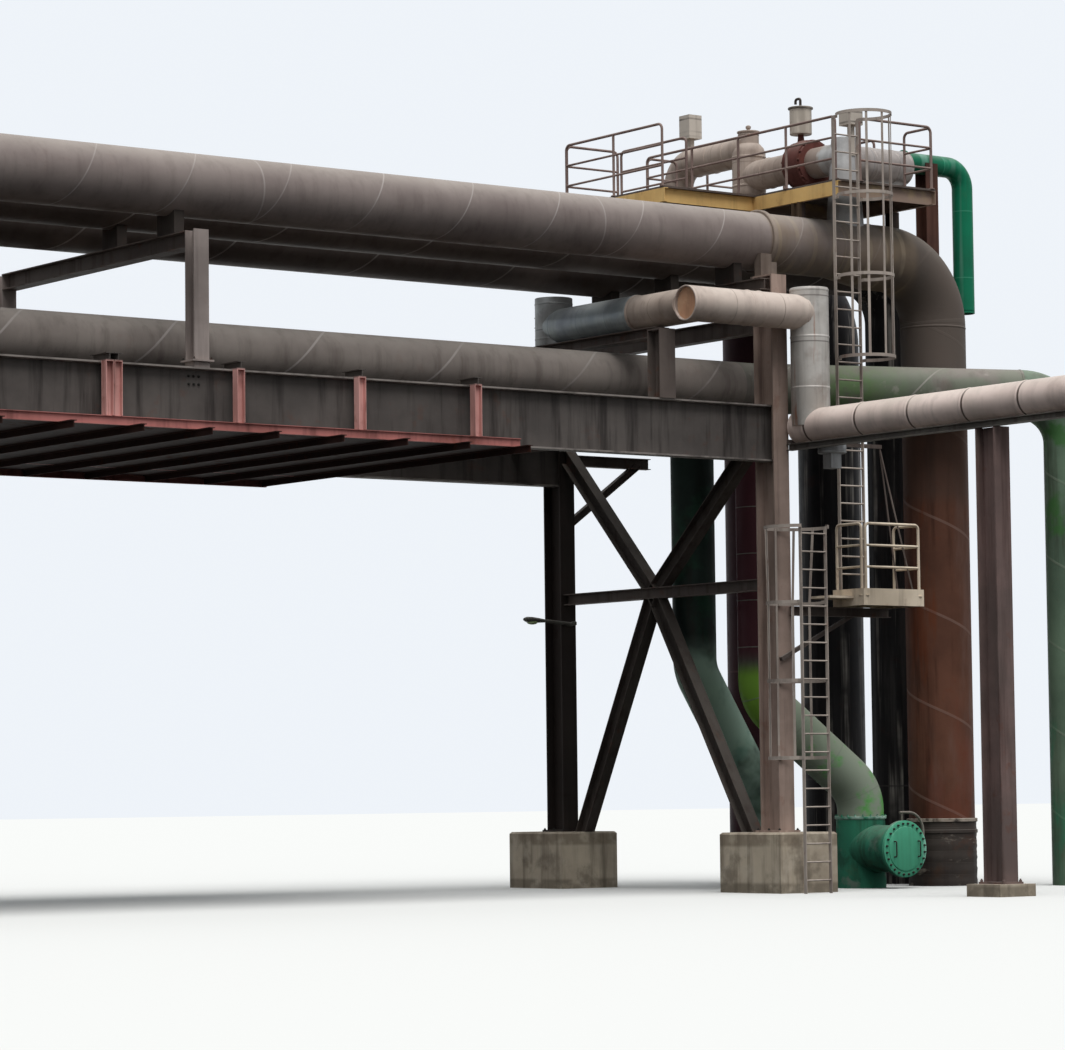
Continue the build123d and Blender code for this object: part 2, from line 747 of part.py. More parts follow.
def blind_cover():
    """The blind cover on the branch, with a shallow raised middle and two handles."""
    face = TEE_Y - TEE_BRANCH_REACH
    axis = (0, -1, 0)
    cover = disc((TEE_X, face, TEE_BRANCH_Z), axis, COVER_RADIUS, COVER_THICKNESS)
    front = face - COVER_THICKNESS
    cover += disc((TEE_X, front, TEE_BRANCH_Z), axis, COVER_RADIUS * 0.78, COVER_DISH)
    reach = front - COVER_DISH - 3 * DAVIT_ROD
    for side in (-1, 1):
        x = TEE_X + side * HANDLE_SIDE
        low = (x, front, TEE_BRANCH_Z - HANDLE_HALF)
        high = (x, front, TEE_BRANCH_Z + HANDLE_HALF)
        cover += pipe([low, (x, reach, low[2]), (x, reach, high[2]), high], DAVIT_ROD / 2, DAVIT_ROD)
    return cover


def davit_arm():
    """The curved arm that rises beside the flange and reaches over it, with a link to its top."""
    x = TEE_X + COVER_RADIUS
    y = TEE_Y - TEE_BRANCH_REACH + COVER_THICKNESS / 2
    tip = TEE_X - 2 * DAVIT_ROD
    arm = pipe([(x, y, DAVIT_FOOT), (x, y, DAVIT_TOP), (tip, y, DAVIT_TOP)], DAVIT_ROD, DAVIT_BEND)
    link = box((TEE_X - DAVIT_ROD, TEE_X + DAVIT_ROD), (y - DAVIT_ROD, y + DAVIT_ROD),
               (TEE_BRANCH_Z + COVER_RADIUS - DAVIT_ROD, DAVIT_TOP))
    return arm + link


def lagged_run():
    """The insulated run in front of the near column, open at its left end, with two collars."""
    riser_x = GREY_RISER_X
    run = pipe([(LAGGED_OPEN_X, LAGGED_Y, LAGGED_Z), (riser_x, LAGGED_Y, LAGGED_Z)], LAGGED_RADIUS)
    for x in LAGGED_COLLARS:
        run += disc((x, LAGGED_Y, LAGGED_Z), (1, 0, 0), LAGGED_RADIUS + LAGGED_COLLAR, 60)
    run -= disc((LAGGED_OPEN_X, LAGGED_Y, LAGGED_Z), (1, 0, 0), LAGGED_RADIUS - OPEN_END_WALL, OPEN_END_DEPTH)
    return run - grey_riser_shaft()


def grey_riser_shaft():
    low = OUTRUN_Z
    return disc((GREY_RISER_X, LAGGED_Y, low), (0, 0, 1), GREY_RISER_RADIUS, GREY_RISER_TOP - low)


def grey_riser():
    """The galvanised riser between the insulated run above and the outrun below."""
    riser = grey_riser_shaft()
    for z in GREY_COLLARS:
        riser += disc((GREY_RISER_X, LAGGED_Y, z), (0, 0, 1), GREY_RISER_RADIUS + LAGGED_COLLAR / 2, 40)
    return riser - outrun_shaft()


def outrun_shaft():
    start = LAGGED_Y + OUTRUN_RADIUS
    return disc((GREY_RISER_X, start, OUTRUN_Z), (0, -1, 0), OUTRUN_RADIUS, start - OUTRUN_END)


def outrun():
    """The insulated run that leaves over the outrigger."""
    run = outrun_shaft()
    count = 6
    step = (LAGGED_Y - OUTRUN_END) / (count + 1)
    for index in range(count):
        y = LAGGED_Y - step * (index + 1)
        run += disc((GREY_RISER_X, y, OUTRUN_Z), (0, -1, 0), OUTRUN_RADIUS + LAGGED_COLLAR / 2, 40)
    return run


def back_branch():
    """The insulated branch that leaves the open-ended run towards the far side."""
    run = disc((BACKRUN_X, LAGGED_Y, LAGGED_Z), (0, 1, 0), LAGGED_RADIUS, CLAD_START - LAGGED_Y)
    return run - pipe([(LAGGED_OPEN_X, LAGGED_Y, LAGGED_Z), (0, LAGGED_Y, LAGGED_Z)], LAGGED_RADIUS)


def clad_branch():
    """Its aluminium-clad continuation, as far as the drum."""
    run = disc((BACKRUN_X, CLAD_START, LAGGED_Z), (0, 1, 0), CLAD_RADIUS, BACKRUN_END - CLAD_START)
    return run - drum()


def drum():
    """The upright galvanised drum that the clad branch runs into."""
    return disc((BACKRUN_X, BACKRUN_END, DRUM_BOTTOM), (0, 0, 1), DRUM_RADIUS, DRUM_TOP - DRUM_BOTTOM)


def short_posts():
    """Two short posts on the girders that carry the beam under the branch."""
    low = GIRDER_BOTTOM + GIRDER_DEPTH
    profile = beam_profile(SHORT_POST_SIZE, SHORT_POST_SIZE, COLUMN_WEB, GOALPOST_FLANGE)
    half = SHORT_POST_SIZE / 2
    posts = []
    for y in (0, BRIDGE_WIDTH):
        top = SHORT_POST_TOP - CAP_PLATE
        shaft = member(profile, (SHORT_POST_X, y, low), (SHORT_POST_X, y, top), (0, 1, 0))
        cap = box((SHORT_POST_X - half, SHORT_POST_X + half), (y - half, y + half), (top, SHORT_POST_TOP))
        posts.append(together([shaft, cap]))
    return posts


def branch_beam():
    """The beam between the short posts, under the branch and the drum."""
    top = DRUM_BOTTOM
    profile = beam_profile(DRUM_BOTTOM - SHORT_POST_TOP + 100, SHORT_POST_SIZE, BRACE_WEB, BRACE_WEB)
    depth = DRUM_BOTTOM - SHORT_POST_TOP + 100
    near = SHORT_POST_SIZE / 2
    level = top - depth / 2
    x = (BACKRUN_X + SHORT_POST_X) / 2
    return member(profile, (x, near, level), (x, BRIDGE_WIDTH - near, level))


def trap():
    """The drip can under the outrun, with its small box."""
    low = OUTRUN_Z - OUTRUN_RADIUS - TRAP_HEIGHT + TRAP_SINK
    can = disc((TRAP_X, TRAP_Y, low), (0, 0, 1), TRAP_RADIUS, TRAP_HEIGHT)
    half = TRAP_BOX / 2
    can += box((TRAP_X - half, TRAP_X + half), (TRAP_Y - half, TRAP_Y + half), (low - TRAP_BOX_HEIGHT, low))
    return can - outrun_shaft()


def outrigger_beam():
    """The light beam under the outrun, from the near column outwards."""
    profile = beam_profile(OUTRIGGER_DEPTH, OUTRIGGER_WIDTH, BRACE_WEB, BRACE_WEB)
    level = OUTRIGGER_TOP - OUTRIGGER_DEPTH / 2
    near = -COLUMN_DEPTH / 2
    return member(profile, (OUTRIGGER_X, near, level), (OUTRIGGER_X, OUTRIGGER_END, level))


def outrigger_column():
    """The column that stands on its own slab under the outrigger."""
    profile = beam_profile(OUTRIGGER_COLUMN_DEPTH, COLUMN_WIDTH, COLUMN_WEB, COLUMN_FLANGE)
    foot = OUTRIGGER_SLAB_HEIGHT
    top = OUTRIGGER_TOP - OUTRIGGER_DEPTH
    x, y = OUTRIGGER_COLUMN_X, OUTRIGGER_COLUMN_Y
    return member(profile, (x, y, foot), (x, y, top), (0, 1, 0))


def outrigger_slab():
    half = OUTRIGGER_SLAB / 2
    x = (OUTRIGGER_COLUMN_X - half, OUTRIGGER_COLUMN_X + half)
    y = (OUTRIGGER_COLUMN_Y - half, OUTRIGGER_COLUMN_Y + half)
    return box(x, y, (0, OUTRIGGER_SLAB_HEIGHT))


def lower_cage():
    return cage(LOWER_LADDER_X, LOWER_LADDER_Y, 1, LOWER_HOOPS, CAGE_FLARE)


def cage_spacers():
    """Blocks between the hoops of the lower cage and the near column."""
    edge = TRESTLE_X[0] - COLUMN_WIDTH / 2
    face = -COLUMN_DEPTH / 2
    reach = face - CAGE_STRAP
    low = CAGE_STRAP / 2
    return [box((edge, edge + CAGE_STRAP), (reach, face), (z - low, z + low)) for z in LOWER_HOOPS]


def ladder(x, y, low, high, first):
    """Two flat rails and round rungs at one pitch."""
    half = LADDER_WIDTH / 2
    rails = [box((x + s * half - RAIL_THICK / 2, x + s * half + RAIL_THICK / 2),
                 (y - RAIL_DEEP / 2, y + RAIL_DEEP / 2), (low, high)) for s in (-1, 1)]
    count = int((high - 100 - first) / RUNG_PITCH) + 1
    rungs = [round_bar((x - half, y, first + RUNG_PITCH * i),
                       (x + half, y, first + RUNG_PITCH * i), RUNG_RADIUS)
             for i in range(count)]
    return together(rails + rungs)


def hoop(x, y, z, side, grow=0):
    """A flat hoop that stops at the ladder, held by a lug on the outside of each rail."""
    radius = CAGE_RADIUS + grow
    centre = y + side * (CAGE_RADIUS - grow)
    low = z - CAGE_STRAP / 2
    high = z + CAGE_STRAP / 2
    ring = disc((x, centre, low), (0, 0, 1), radius, CAGE_STRAP)
    ring -= disc((x, centre, low), (0, 0, 1), radius - CAGE_WALL, CAGE_STRAP)
    half = (LADDER_WIDTH + RAIL_THICK) / 2
    ring -= box((x - half, x + half), sorted((centre - side * 2 * radius, centre)), (low, high))
    inner = centre - side * sqrt((radius - CAGE_WALL) ** 2 - (half + CAGE_WALL) ** 2)
    outer = centre - side * sqrt(radius ** 2 - half ** 2)
    span = (min(y, inner, outer), max(y, inner, outer))
    lugs = [box(sorted((x + s * half, x + s * (half + CAGE_WALL))), span, (low, high)) for s in (-1, 1)]
    return together([ring] + lugs)


def cage(x, y, side, levels, flare=0):
    """Hoops joined by upright bars; the top hoop may be wider than the rest."""
    pieces = [hoop(x, y, z, side) for z in levels[:-1]]
    pieces.append(hoop(x, y, levels[-1], side, flare))
    for index in range(CAGE_STRAPS):
        angle = pi * (index + 0.5) / CAGE_STRAPS
        foot, head = (cage_point(x, y, side, angle, grow) for grow in (0, flare))
        knee = levels[-2]
        bar = CAGE_WALL * 1.6
        pieces.append(round_bar((*foot, levels[0] - CAGE_STRAP / 2), (*foot, knee), bar))
        pieces.append(round_bar((*foot, knee), (*head, levels[-1] + CAGE_STRAP / 2), bar))
    return together(pieces)


def cage_point(x, y, side, angle, grow):
    """X and Y of an upright bar on the hoop's wall."""
    radius = CAGE_RADIUS + grow - CAGE_WALL / 2
    return x + radius * cos(angle), y + side * (CAGE_RADIUS - grow + radius * sin(angle))


def panel(start, end, low, foot):
    """One railing panel: posts at even spacing with three rails, a little short at both ends."""
    length = sqrt((end[0] - start[0]) ** 2 + (end[1] - start[1]) ** 2)
    step = ((end[0] - start[0]) / length, (end[1] - start[1]) / length)
    inset = 2 * RAIL_RADIUS
    count = max(1, round(length / RAIL_POST_PITCH))
    spots = [inset + (length - 2 * inset) * index / count for index in range(count + 1)]
    places = [(start[0] + step[0] * spot, start[1] + step[1] * spot) for spot in spots]
    levels = [low + RAILING_HEIGHT * share for share in (1 / 3, 2 / 3, 1)]
    pieces = [round_bar((*places[0], level), (*places[-1], level), RAIL_RADIUS) for level in levels]
    pieces += [round_bar((*place, foot), (*place, low + RAILING_HEIGHT), RAIL_RADIUS) for place in places]
    return together(pieces)


def landing_deck():
    """The lower platform with its fascia and toe boards and the step across to the ladder."""
    x0, x1 = LANDING_X, LANDING_X + LANDING_LENGTH
    y0, y1 = LANDING_Y, LANDING_Y + LANDING_DEPTH
    plate = box((x0, x1), (y0, y1), (LANDING_TOP - LANDING_TOE - LANDING_FASCIA, LANDING_TOP - LANDING_TOE))
    inner = GALLERY_CHANNEL_WALL
    plate -= box((x0 + inner, x1 - inner), (y0 + inner, y1 - inner),
                 (LANDING_TOP - LANDING_TOE - LANDING_FASCIA, LANDING_TOP - LANDING_TOE - inner))
    toe = box((x0, x1), (y0, y1), (LANDING_TOP - LANDING_TOE, LANDING_TOP))
    toe -= box((x0 + inner, x1 - inner), (y0 + inner, y1 + 1), (LANDING_TOP - LANDING_TOE, LANDING_TOP))
    step = box((x0 - LANDING_STEP, x0), (y1 - LANDING_STEP, y1),
               (LANDING_TOP - LANDING_TOE - 4 * inner, LANDING_TOP - LANDING_TOE))
    return together([plate, toe, step])


def landing_railing():
    """Railing panels on the three open sides of the lower platform."""
    inset = RAIL_RADIUS + GALLERY_CHANNEL_WALL
    x0, x1 = LANDING_X + inset, LANDING_X + LANDING_LENGTH - inset
    y0, y1 = LANDING_Y + inset, LANDING_Y + LANDING_DEPTH - inset
    corners = [(x1, y1), (x1, y0), (x0, y0), (x0, y1)]
    foot = LANDING_TOP - LANDING_TOE
    return [panel(start, end, LANDING_TOP, foot) for start, end in zip(corners, corners[1:])]


def landing_brackets():
    """The bracket beam from the near column under the lower platform, and its knee."""
    top = LANDING_TOP - LANDING_TOE - LANDING_FASCIA
    face = -COLUMN_DEPTH / 2
    end = LANDING_X + LANDING_LENGTH
    level = top - BRACKET_DEPTH / 2
    y = face - BRACKET_DEPTH / 2
    profile = beam_profile(BRACKET_DEPTH, BRACKET_DEPTH, 10, 10)
    beam = member(profile, (BRACKET_START, y, level), (end, y, level))
    knee_y = face - KNEE_SIZE / 2
    knee = member(Rectangle(KNEE_SIZE, KNEE_SIZE), (KNEE_START, knee_y, KNEE_FOOT),
                  (LANDING_X + LANDING_LENGTH / 2, knee_y, level))
    return [together([beam, knee])]


def landing_rods():
    """The arm on the near column and the two rods that hang the platform's outer end from it."""
    x = LANDING_X + LANDING_LENGTH
    y = LANDING_Y + LANDING_DEPTH / 2
    face = -COLUMN_DEPTH / 2
    arm = box((BRACKET_START, x - 60), (face - 60, face), (ROD_TOP - 80, ROD_TOP - 20))
    head = (x - 90, face - 30, ROD_TOP - 50)
    rods = [round_bar(head, (x - 40, y + side * 180, LANDING_TOP - LANDING_TOE), ROD_RADIUS)
            for side in (-1, 1)]
    return [together([arm] + rods)]


def gallery_beams():
    """The channels that carry the gallery and its side bay."""
    top = GALLERY_TOP - GALLERY_PLATE
    level = top - GALLERY_CHANNEL / 2
    x0, x1 = GALLERY_X, GALLERY_X + GALLERY_LENGTH
    y0, y1 = GALLERY_Y, GALLERY_Y + GALLERY_DEPTH
    wide = GALLERY_CHANNEL_WIDTH
    wall = GALLERY_CHANNEL_WALL
    inward = channel_profile(GALLERY_CHANNEL, wide, wall, -1)
    outward = channel_profile(GALLERY_CHANNEL, wide, wall, 1)
    pieces = [member(inward, (x0, y0, level), (x0, y1, level)),
              member(outward, (x1, y0, level), (x1, y1, level))]
    for y in (y0 + wide, y1 - wide, SIDE_Y + wide, SIDE_Y + SIDE_DEPTH - wide):
        start = SIDE_X if SIDE_Y < y < SIDE_Y + SIDE_DEPTH else x0
        pieces.append(box((start, x1), (y - wall / 2, y + wall / 2), (top - GALLERY_CHANNEL, top)))
    side = member(inward, (SIDE_X, SIDE_Y, level), (SIDE_X, SIDE_Y + SIDE_DEPTH, level))
    return together(pieces + [side])


def gallery_decks():
    """The floor of the gallery and of its side bay, cut out round the cone."""
    low = GALLERY_TOP - GALLERY_PLATE
    x0, x1 = GALLERY_X, GALLERY_X + GALLERY_LENGTH
    floor = box((x0, x1), (GALLERY_Y, GALLERY_Y + GALLERY_DEPTH), (low, GALLERY_TOP))
    floor += box((SIDE_X, x0), (SIDE_Y, SIDE_Y + SIDE_DEPTH), (low, GALLERY_TOP))
    return floor - disc((TRAIN_X, NEAR_Y, low), (0, 0, 1), CONE_FOOT_RADIUS, GALLERY_PLATE)


def stubs():
    """Short posts from the tops of the upper pipes to the gallery's channels."""
    top = GALLERY_TOP - GALLERY_PLATE - GALLERY_CHANNEL
    profile = beam_profile(STUB_SIZE, STUB_SIZE, 10, 12)
    posts = []
    inset = GALLERY_CHANNEL_WIDTH / 2
    for x in (GALLERY_X + inset, GALLERY_X + GALLERY_LENGTH - inset):
        for y, z, radius in ((NEAR_Y, NEAR_Z, NEAR_RADIUS), (FAR_Y, BACK_PIPE_Z, FAR_RADIUS)):
            posts.append(member(profile, (x, y, z + radius - 30), (x, y, top), (0, 1, 0)))
    x = SIDE_X + inset
    posts.append(member(profile, (x, FAR_Y, BACK_PIPE_Z + FAR_RADIUS - 30), (x, FAR_Y, top), (0, 1, 0)))
    cutters = near_pipe() + near_riser() + back_run(FAR_Y, FAR_RADIUS)
    return [post - cutters for post in posts]


def gallery_railings():
    """Railing panels round the gallery and its side bay, open where the pipes pass."""
    x0, x1 = GALLERY_X + RAIL_RADIUS, GALLERY_X + GALLERY_LENGTH - RAIL_RADIUS
    y0, y1 = GALLERY_Y + RAIL_RADIUS, GALLERY_Y + GALLERY_DEPTH - RAIL_RADIUS
    side_x = SIDE_X + RAIL_RADIUS
    side_y0, side_y1 = SIDE_Y + RAIL_RADIUS, SIDE_Y + SIDE_DEPTH - RAIL_RADIUS
    gate = UPPER_LADDER_X + LADDER_WIDTH / 2 + 100
    silver = SILVER_RADIUS + RAILING_GAP
    train = TRAIN_RADIUS + RAILING_GAP
    side_end = side_x + SIDE_RAILED[0]
    runs = [((x0, y0), (x0, y1)),
            ((side_x, side_y0), (side_x, side_y1)),
            ((side_x, side_y1), (side_end, side_y1)),
            ((side_end, side_y1), (side_end, side_y1 - SIDE_RAILED[1])),
            ((x0, y1), (TRAIN_X - train, y1)),
            ((TRAIN_X + train, y1), (x1, y1)),
            ((x1, y1), (x1, SILVER_Y + silver)),
            ((x1, SILVER_Y - silver), (x1, y0)),
            ((x1, y0), (gate, y0))]
    return [panel(start, end, GALLERY_TOP, GALLERY_TOP) for start, end in runs]


def train_pipe():
    """The cross connection from the far end of the valve back down to the far upper pipe."""
    start = VALVE_Y + VALVE_LENGTH / 2
    low = disc((TRAIN_X, start, TRAIN_Z), (0, 1, 0), TRAIN_RADIUS, BRANCH_POT_Y - start)
    points = [(TRAIN_X, BRANCH_POT_Y, TRAIN_HIGH_Z), (TRAIN_X, TRAIN_BACK, TRAIN_HIGH_Z),
              (TRAIN_X, TRAIN_BACK, BACK_PIPE_Z), (TRAIN_X, FAR_Y, BACK_PIPE_Z)]
    return together([low, pipe(points, TRAIN_RADIUS, TRAIN_BEND), vessel()]) - back_run(FAR_Y, FAR_RADIUS)


def vessel():
    """The upright vessel between the low and the high length of the connection."""
    foot = (TRAIN_X, BRANCH_POT_Y, VESSEL_BOTTOM)
    return disc(foot, (0, 0, 1), VESSEL_RADIUS, VESSEL_TOP - VESSEL_BOTTOM)


def branch_pot():
    """The upright pot on the vessel."""
    foot = (TRAIN_X, BRANCH_POT_Y, TRAIN_HIGH_Z)
    return disc(foot, (0, 0, 1), BRANCH_POT_RADIUS, BRANCH_POT_TOP - TRAIN_HIGH_Z)


def valve():
    """The dark round valve with its two flanges."""
    start = VALVE_Y - VALVE_LENGTH / 2
    axis = (0, 1, 0)
    middle = VALVE_LENGTH / 2
    rim = TRAIN_RADIUS + VALVE_FLANGE
    end = start + VALVE_LENGTH
    body = disc((TRAIN_X, start, TRAIN_Z), axis, rim, VALVE_FLANGE)
    body += disc((TRAIN_X, end - VALVE_FLANGE, TRAIN_Z), axis, rim, VALVE_FLANGE)
    ball = Pos(TRAIN_X, start + middle, TRAIN_Z) * Sphere(VALVE_RADIUS)
    span = VALVE_RADIUS + 10
    slab = box((TRAIN_X - span, TRAIN_X + span), (start, end), (TRAIN_Z - span, TRAIN_Z + span))
    return together([body, ball & slab, canister()])


def canister():
    """The can on the valve with its stem and its bent breather."""
    x, y = TRAIN_X, CANISTER_Y
    up = (0, 0, 1)
    root = TRAIN_Z + VALVE_RADIUS - 60
    stem = disc((x, y, root), up, 45, CANISTER_BOTTOM - root)
    can = disc((x, y, CANISTER_BOTTOM), up, CANISTER_RADIUS, CANISTER_TOP - CANISTER_BOTTOM)
    lid = disc((x, y, CANISTER_TOP), up, CANISTER_RADIUS + 25, 30)
    top = CANISTER_TOP + 30
    neck = pipe([(x, y, top), (x, y, top + 150), (x, y + 120, top + 150), (x, y + 120, top + 70)], 22, 40)
    return together([stem, can, lid, neck])


def branch_cone():
    """The cone that rises from the near upper pipe through the deck, with its stub to the valve."""
    low = NEAR_Z
    foot = Plane(origin=(TRAIN_X, NEAR_Y, low)) * Circle(CONE_FOOT_RADIUS)
    head = Plane(origin=(TRAIN_X, NEAR_Y, TRAIN_Z + TRAIN_RADIUS + 60)) * Circle(CONE_TOP_RADIUS)
    cone = loft([foot, head])
    joint = disc((TRAIN_X, NEAR_Y, TRAIN_Z), (0, 1, 0), TRAIN_RADIUS, VALVE_Y - VALVE_LENGTH / 2 - NEAR_Y)
    across = disc((TRAIN_X, SILVER_Y, SILVER_Z), (1, 0, 0), SILVER_RADIUS, SILVER_END - TRAIN_X)
    return together([cone, joint, across]) - near_pipe()


def vent_pipe():
    """The green vent: along, then down to its open end."""
    z = SILVER_Z + SILVER_RADIUS - VENT_RADIUS
    points = [(SILVER_END, SILVER_Y, z), (VENT_X, SILVER_Y, z), (VENT_X, SILVER_Y, VENT_END)]
    vent = pipe(points, VENT_RADIUS, 2 * VENT_RADIUS)
    return vent - disc((VENT_X, SILVER_Y, VENT_END), (0, 0, 1), VENT_RADIUS - VENT_WALL, 400)


def vent_post():
    """The post from the back of the near elbow up to the vent."""
    top = SILVER_Z + SILVER_RADIUS - VENT_RADIUS
    profile = beam_profile(VENT_POST_SIZE, VENT_POST_SIZE, 12, 16)
    post = member(profile, (VENT_POST_X, NEAR_Y, near_riser_z()), (VENT_POST_X, NEAR_Y, top), (0, 1, 0))
    return post - near_riser() - vent_pipe()


def instrument_boxes():
    """Two boxes on short stems above the connection."""
    boxes = []
    places = ((NEAR_BOX_Y, TRAIN_Z, NEAR_BOX_BOTTOM, NEAR_BOX_HEIGHT),
              (FAR_BOX_Y, TRAIN_HIGH_Z, FAR_BOX_BOTTOM, FAR_BOX_HEIGHT))
    half = BOX_SIDE / 2
    for y, root, low, height in places:
        body = box((TRAIN_X - half, TRAIN_X + half), (y - half, y + half), (low, low + height))
        stem = disc((TRAIN_X, y, root), (0, 0, 1), 60, low - root)
        boxes.append(together([body, stem]) - train_pipe() - branch_cone())
    return boxes


def far_bracket():
    """The bracket beam and its knee on the far column."""
    x0 = TRESTLE_X[0] + COLUMN_WEB / 2
    level = FAR_BRACKET_TOP - FAR_BRACKET_DEPTH / 2
    reach = x0 + FAR_BRACKET_REACH
    profile = beam_profile(FAR_BRACKET_DEPTH, 150, 10, 12)
    beam = member(profile, (x0, BRIDGE_WIDTH, level), (reach, BRIDGE_WIDTH, level))
    knee = member(beam_profile(120, 100, 8, 10), (x0, BRIDGE_WIDTH, FAR_BRACKET_TOP - FAR_KNEE_DROP),
                  (FAR_KNEE_REACH, BRIDGE_WIDTH, level), (0, 0, 1))
    return together([beam, knee & box((x0, reach), (0, 2 * BRIDGE_WIDTH), (0, level))])


def lamp():
    """The street lamp on its arm, on the near face of the far column."""
    y = BRIDGE_WIDTH - COLUMN_DEPTH / 2
    x = TRESTLE_X[0]
    end = x - LAMP_REACH
    arm = pipe([(x, y, LAMP_Z), (x, y - 150, LAMP_Z), (end, y - 150, LAMP_Z + 60)], 30, 80)
    head = Pos(end, y - 150, LAMP_Z + 60) * Box(LAMP_LENGTH, 200, 110)
    head = fillet(head.edges().filter_by(Axis.Y), 40)
    return together([arm, head])


def shapes():
    """Every node by name."""
    return {
        "plinths": plinth_blocks() + [outrigger_slab()],
        "columns": columns(),
        "upper_braces": upper_braces(),
        "lower_braces": lower_braces(),
        "struts": struts() + ties(),
        "head_beams": head_beams(),
        "girders": [girder(0), girder(BRIDGE_WIDTH)],
        "floor_beams": floor_beams(),
        "deck_ribs": deck_ribs(),
        "deck_plate": deck_plate(),
        "edge_channels": edge_channels(),
        "hangers": hangers(-1) + hangers(1),
        "goalpost_posts": [goalpost_post(0), goalpost_post(BRIDGE_WIDTH)],
        "goalpost_beam": [goalpost_beam()],
        "near_pipe": [near_pipe()],
        "near_riser": [near_riser()],
        "base_sleeve": [base_sleeve()],
        "back_pipes": [back_run(MIDDLE_Y, MIDDLE_RADIUS), back_run(FAR_Y, FAR_RADIUS)],
        "back_risers": [back_riser(MIDDLE_Y, MIDDLE_RADIUS), back_riser(FAR_Y, FAR_RADIUS)],
        "branch_riser": [branch_riser()],
        "upper_saddles": upper_saddles(),
        "lower_saddles": lower_saddles(),
        "lower_pipe": [lower_pipe()],
        "lower_crossing": [lower_crossing()],
        "green_riser": [green_riser()],
        "second_pipe": [second_pipe()],
        "second_drop": [second_drop()],
        "drop_pipe": [drop_pipe()],
        "tee_piece": [tee_piece()],
        "blind_cover": [blind_cover()],
        "lagged_run": [lagged_run()],
        "grey_riser": [grey_riser()],
        "outrun": [outrun()],
        "back_branch": [back_branch()],
        "clad_branch": [clad_branch()],
        "drum": [drum()],
        "short_posts": short_posts(),
        "branch_beam": [branch_beam()],
        "drip_can": [trap()],
        "outrigger": [outrigger_beam()],
        "outrigger_column": [outrigger_column()],
        "lower_ladder": [ladder(LOWER_LADDER_X, LOWER_LADDER_Y, 0, LOWER_LADDER_TOP, 200)],
        "lower_cage": [together([lower_cage()] + cage_spacers())],
        "landing": [landing_deck()],
        "landing_railing": landing_railing(),
        "landing_brackets": landing_brackets(),
        "landing_rods": landing_rods(),
        "upper_ladder": [ladder(UPPER_LADDER_X, UPPER_LADDER_Y, LANDING_TOP - LANDING_TOE, UPPER_LADDER_TOP,
                                LANDING_TOP + UPPER_FIRST_RUNG)],
        "upper_cage": [cage(UPPER_LADDER_X, UPPER_LADDER_Y, -1, UPPER_HOOPS)],
        "gallery_beams": [together([gallery_beams()] + stubs())],
        "gallery_deck": [gallery_decks()],
        "gallery_railings": gallery_railings(),
        "branch_cone": [branch_cone()],
        "valve": [valve()],
        "valve_train": [together([train_pipe(), branch_pot()])],
        "instrument_boxes": instrument_boxes(),
        "vent_pipe": [vent_pipe()],
        "vent_post": [vent_post()],
        "far_bracket": [far_bracket()],
        "lamp": [lamp()],
    }


os.makedirs("parts", exist_ok=True)
for name, pieces in shapes().items():
    solids = []
    for piece in pieces:
        solids.extend(piece.solids())
    shape = solids[0] if len(solids) == 1 else Compound(children=solids)
    export_step(shape, f"parts/{name}.step")
    print(name, len(solids), round(sum(solid.volume for solid in solids) / 1e9, 4))
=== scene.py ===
# %% [markdown]
# An industrial pipe bridge. Two steel trestles carry plate girders, and large pipes cross on them
# before they turn down to the ground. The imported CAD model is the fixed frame: the rolled steelwork
# stays as it is and gets its paint here, while everything round is made again as smooth surfaces.

# %% Load the frame
import json
import math

import bpy
import numpy as np
from mathutils import Matrix


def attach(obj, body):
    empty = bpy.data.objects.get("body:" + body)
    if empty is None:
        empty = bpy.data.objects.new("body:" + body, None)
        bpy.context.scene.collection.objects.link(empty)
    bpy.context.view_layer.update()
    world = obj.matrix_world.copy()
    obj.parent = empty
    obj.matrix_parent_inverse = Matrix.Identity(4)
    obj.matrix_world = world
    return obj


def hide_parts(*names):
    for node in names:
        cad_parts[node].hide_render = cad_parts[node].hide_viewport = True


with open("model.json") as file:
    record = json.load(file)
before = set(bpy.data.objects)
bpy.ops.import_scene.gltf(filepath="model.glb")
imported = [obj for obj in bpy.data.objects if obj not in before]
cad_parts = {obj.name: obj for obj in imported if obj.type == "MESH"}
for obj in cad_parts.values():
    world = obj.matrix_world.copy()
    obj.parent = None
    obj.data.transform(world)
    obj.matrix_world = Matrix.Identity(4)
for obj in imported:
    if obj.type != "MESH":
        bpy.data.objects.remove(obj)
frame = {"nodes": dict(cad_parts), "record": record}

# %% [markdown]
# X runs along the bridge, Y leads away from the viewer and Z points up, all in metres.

RIGHT, LEFT = (1, 0, 0), (-1, 0, 0)
AWAY, NEARER = (0, 1, 0), (0, -1, 0)
UP, DOWN = (0, 0, 1), (0, 0, -1)
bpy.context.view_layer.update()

# %% [markdown]
# Every new piece is a shape: points, four-sided faces, and for each face corner two numbers that a
# material can follow, the length along the piece and the turn round it. Blender's own tools could
# build a shape too, but whole numpy arrays are quicker and say the form in one formula.

# %% Shapes as arrays
AROUND = 64


def unit(vector):
    """The vector divided by its own length."""
    vector = np.asarray(vector, float)
    return vector / np.linalg.norm(vector)


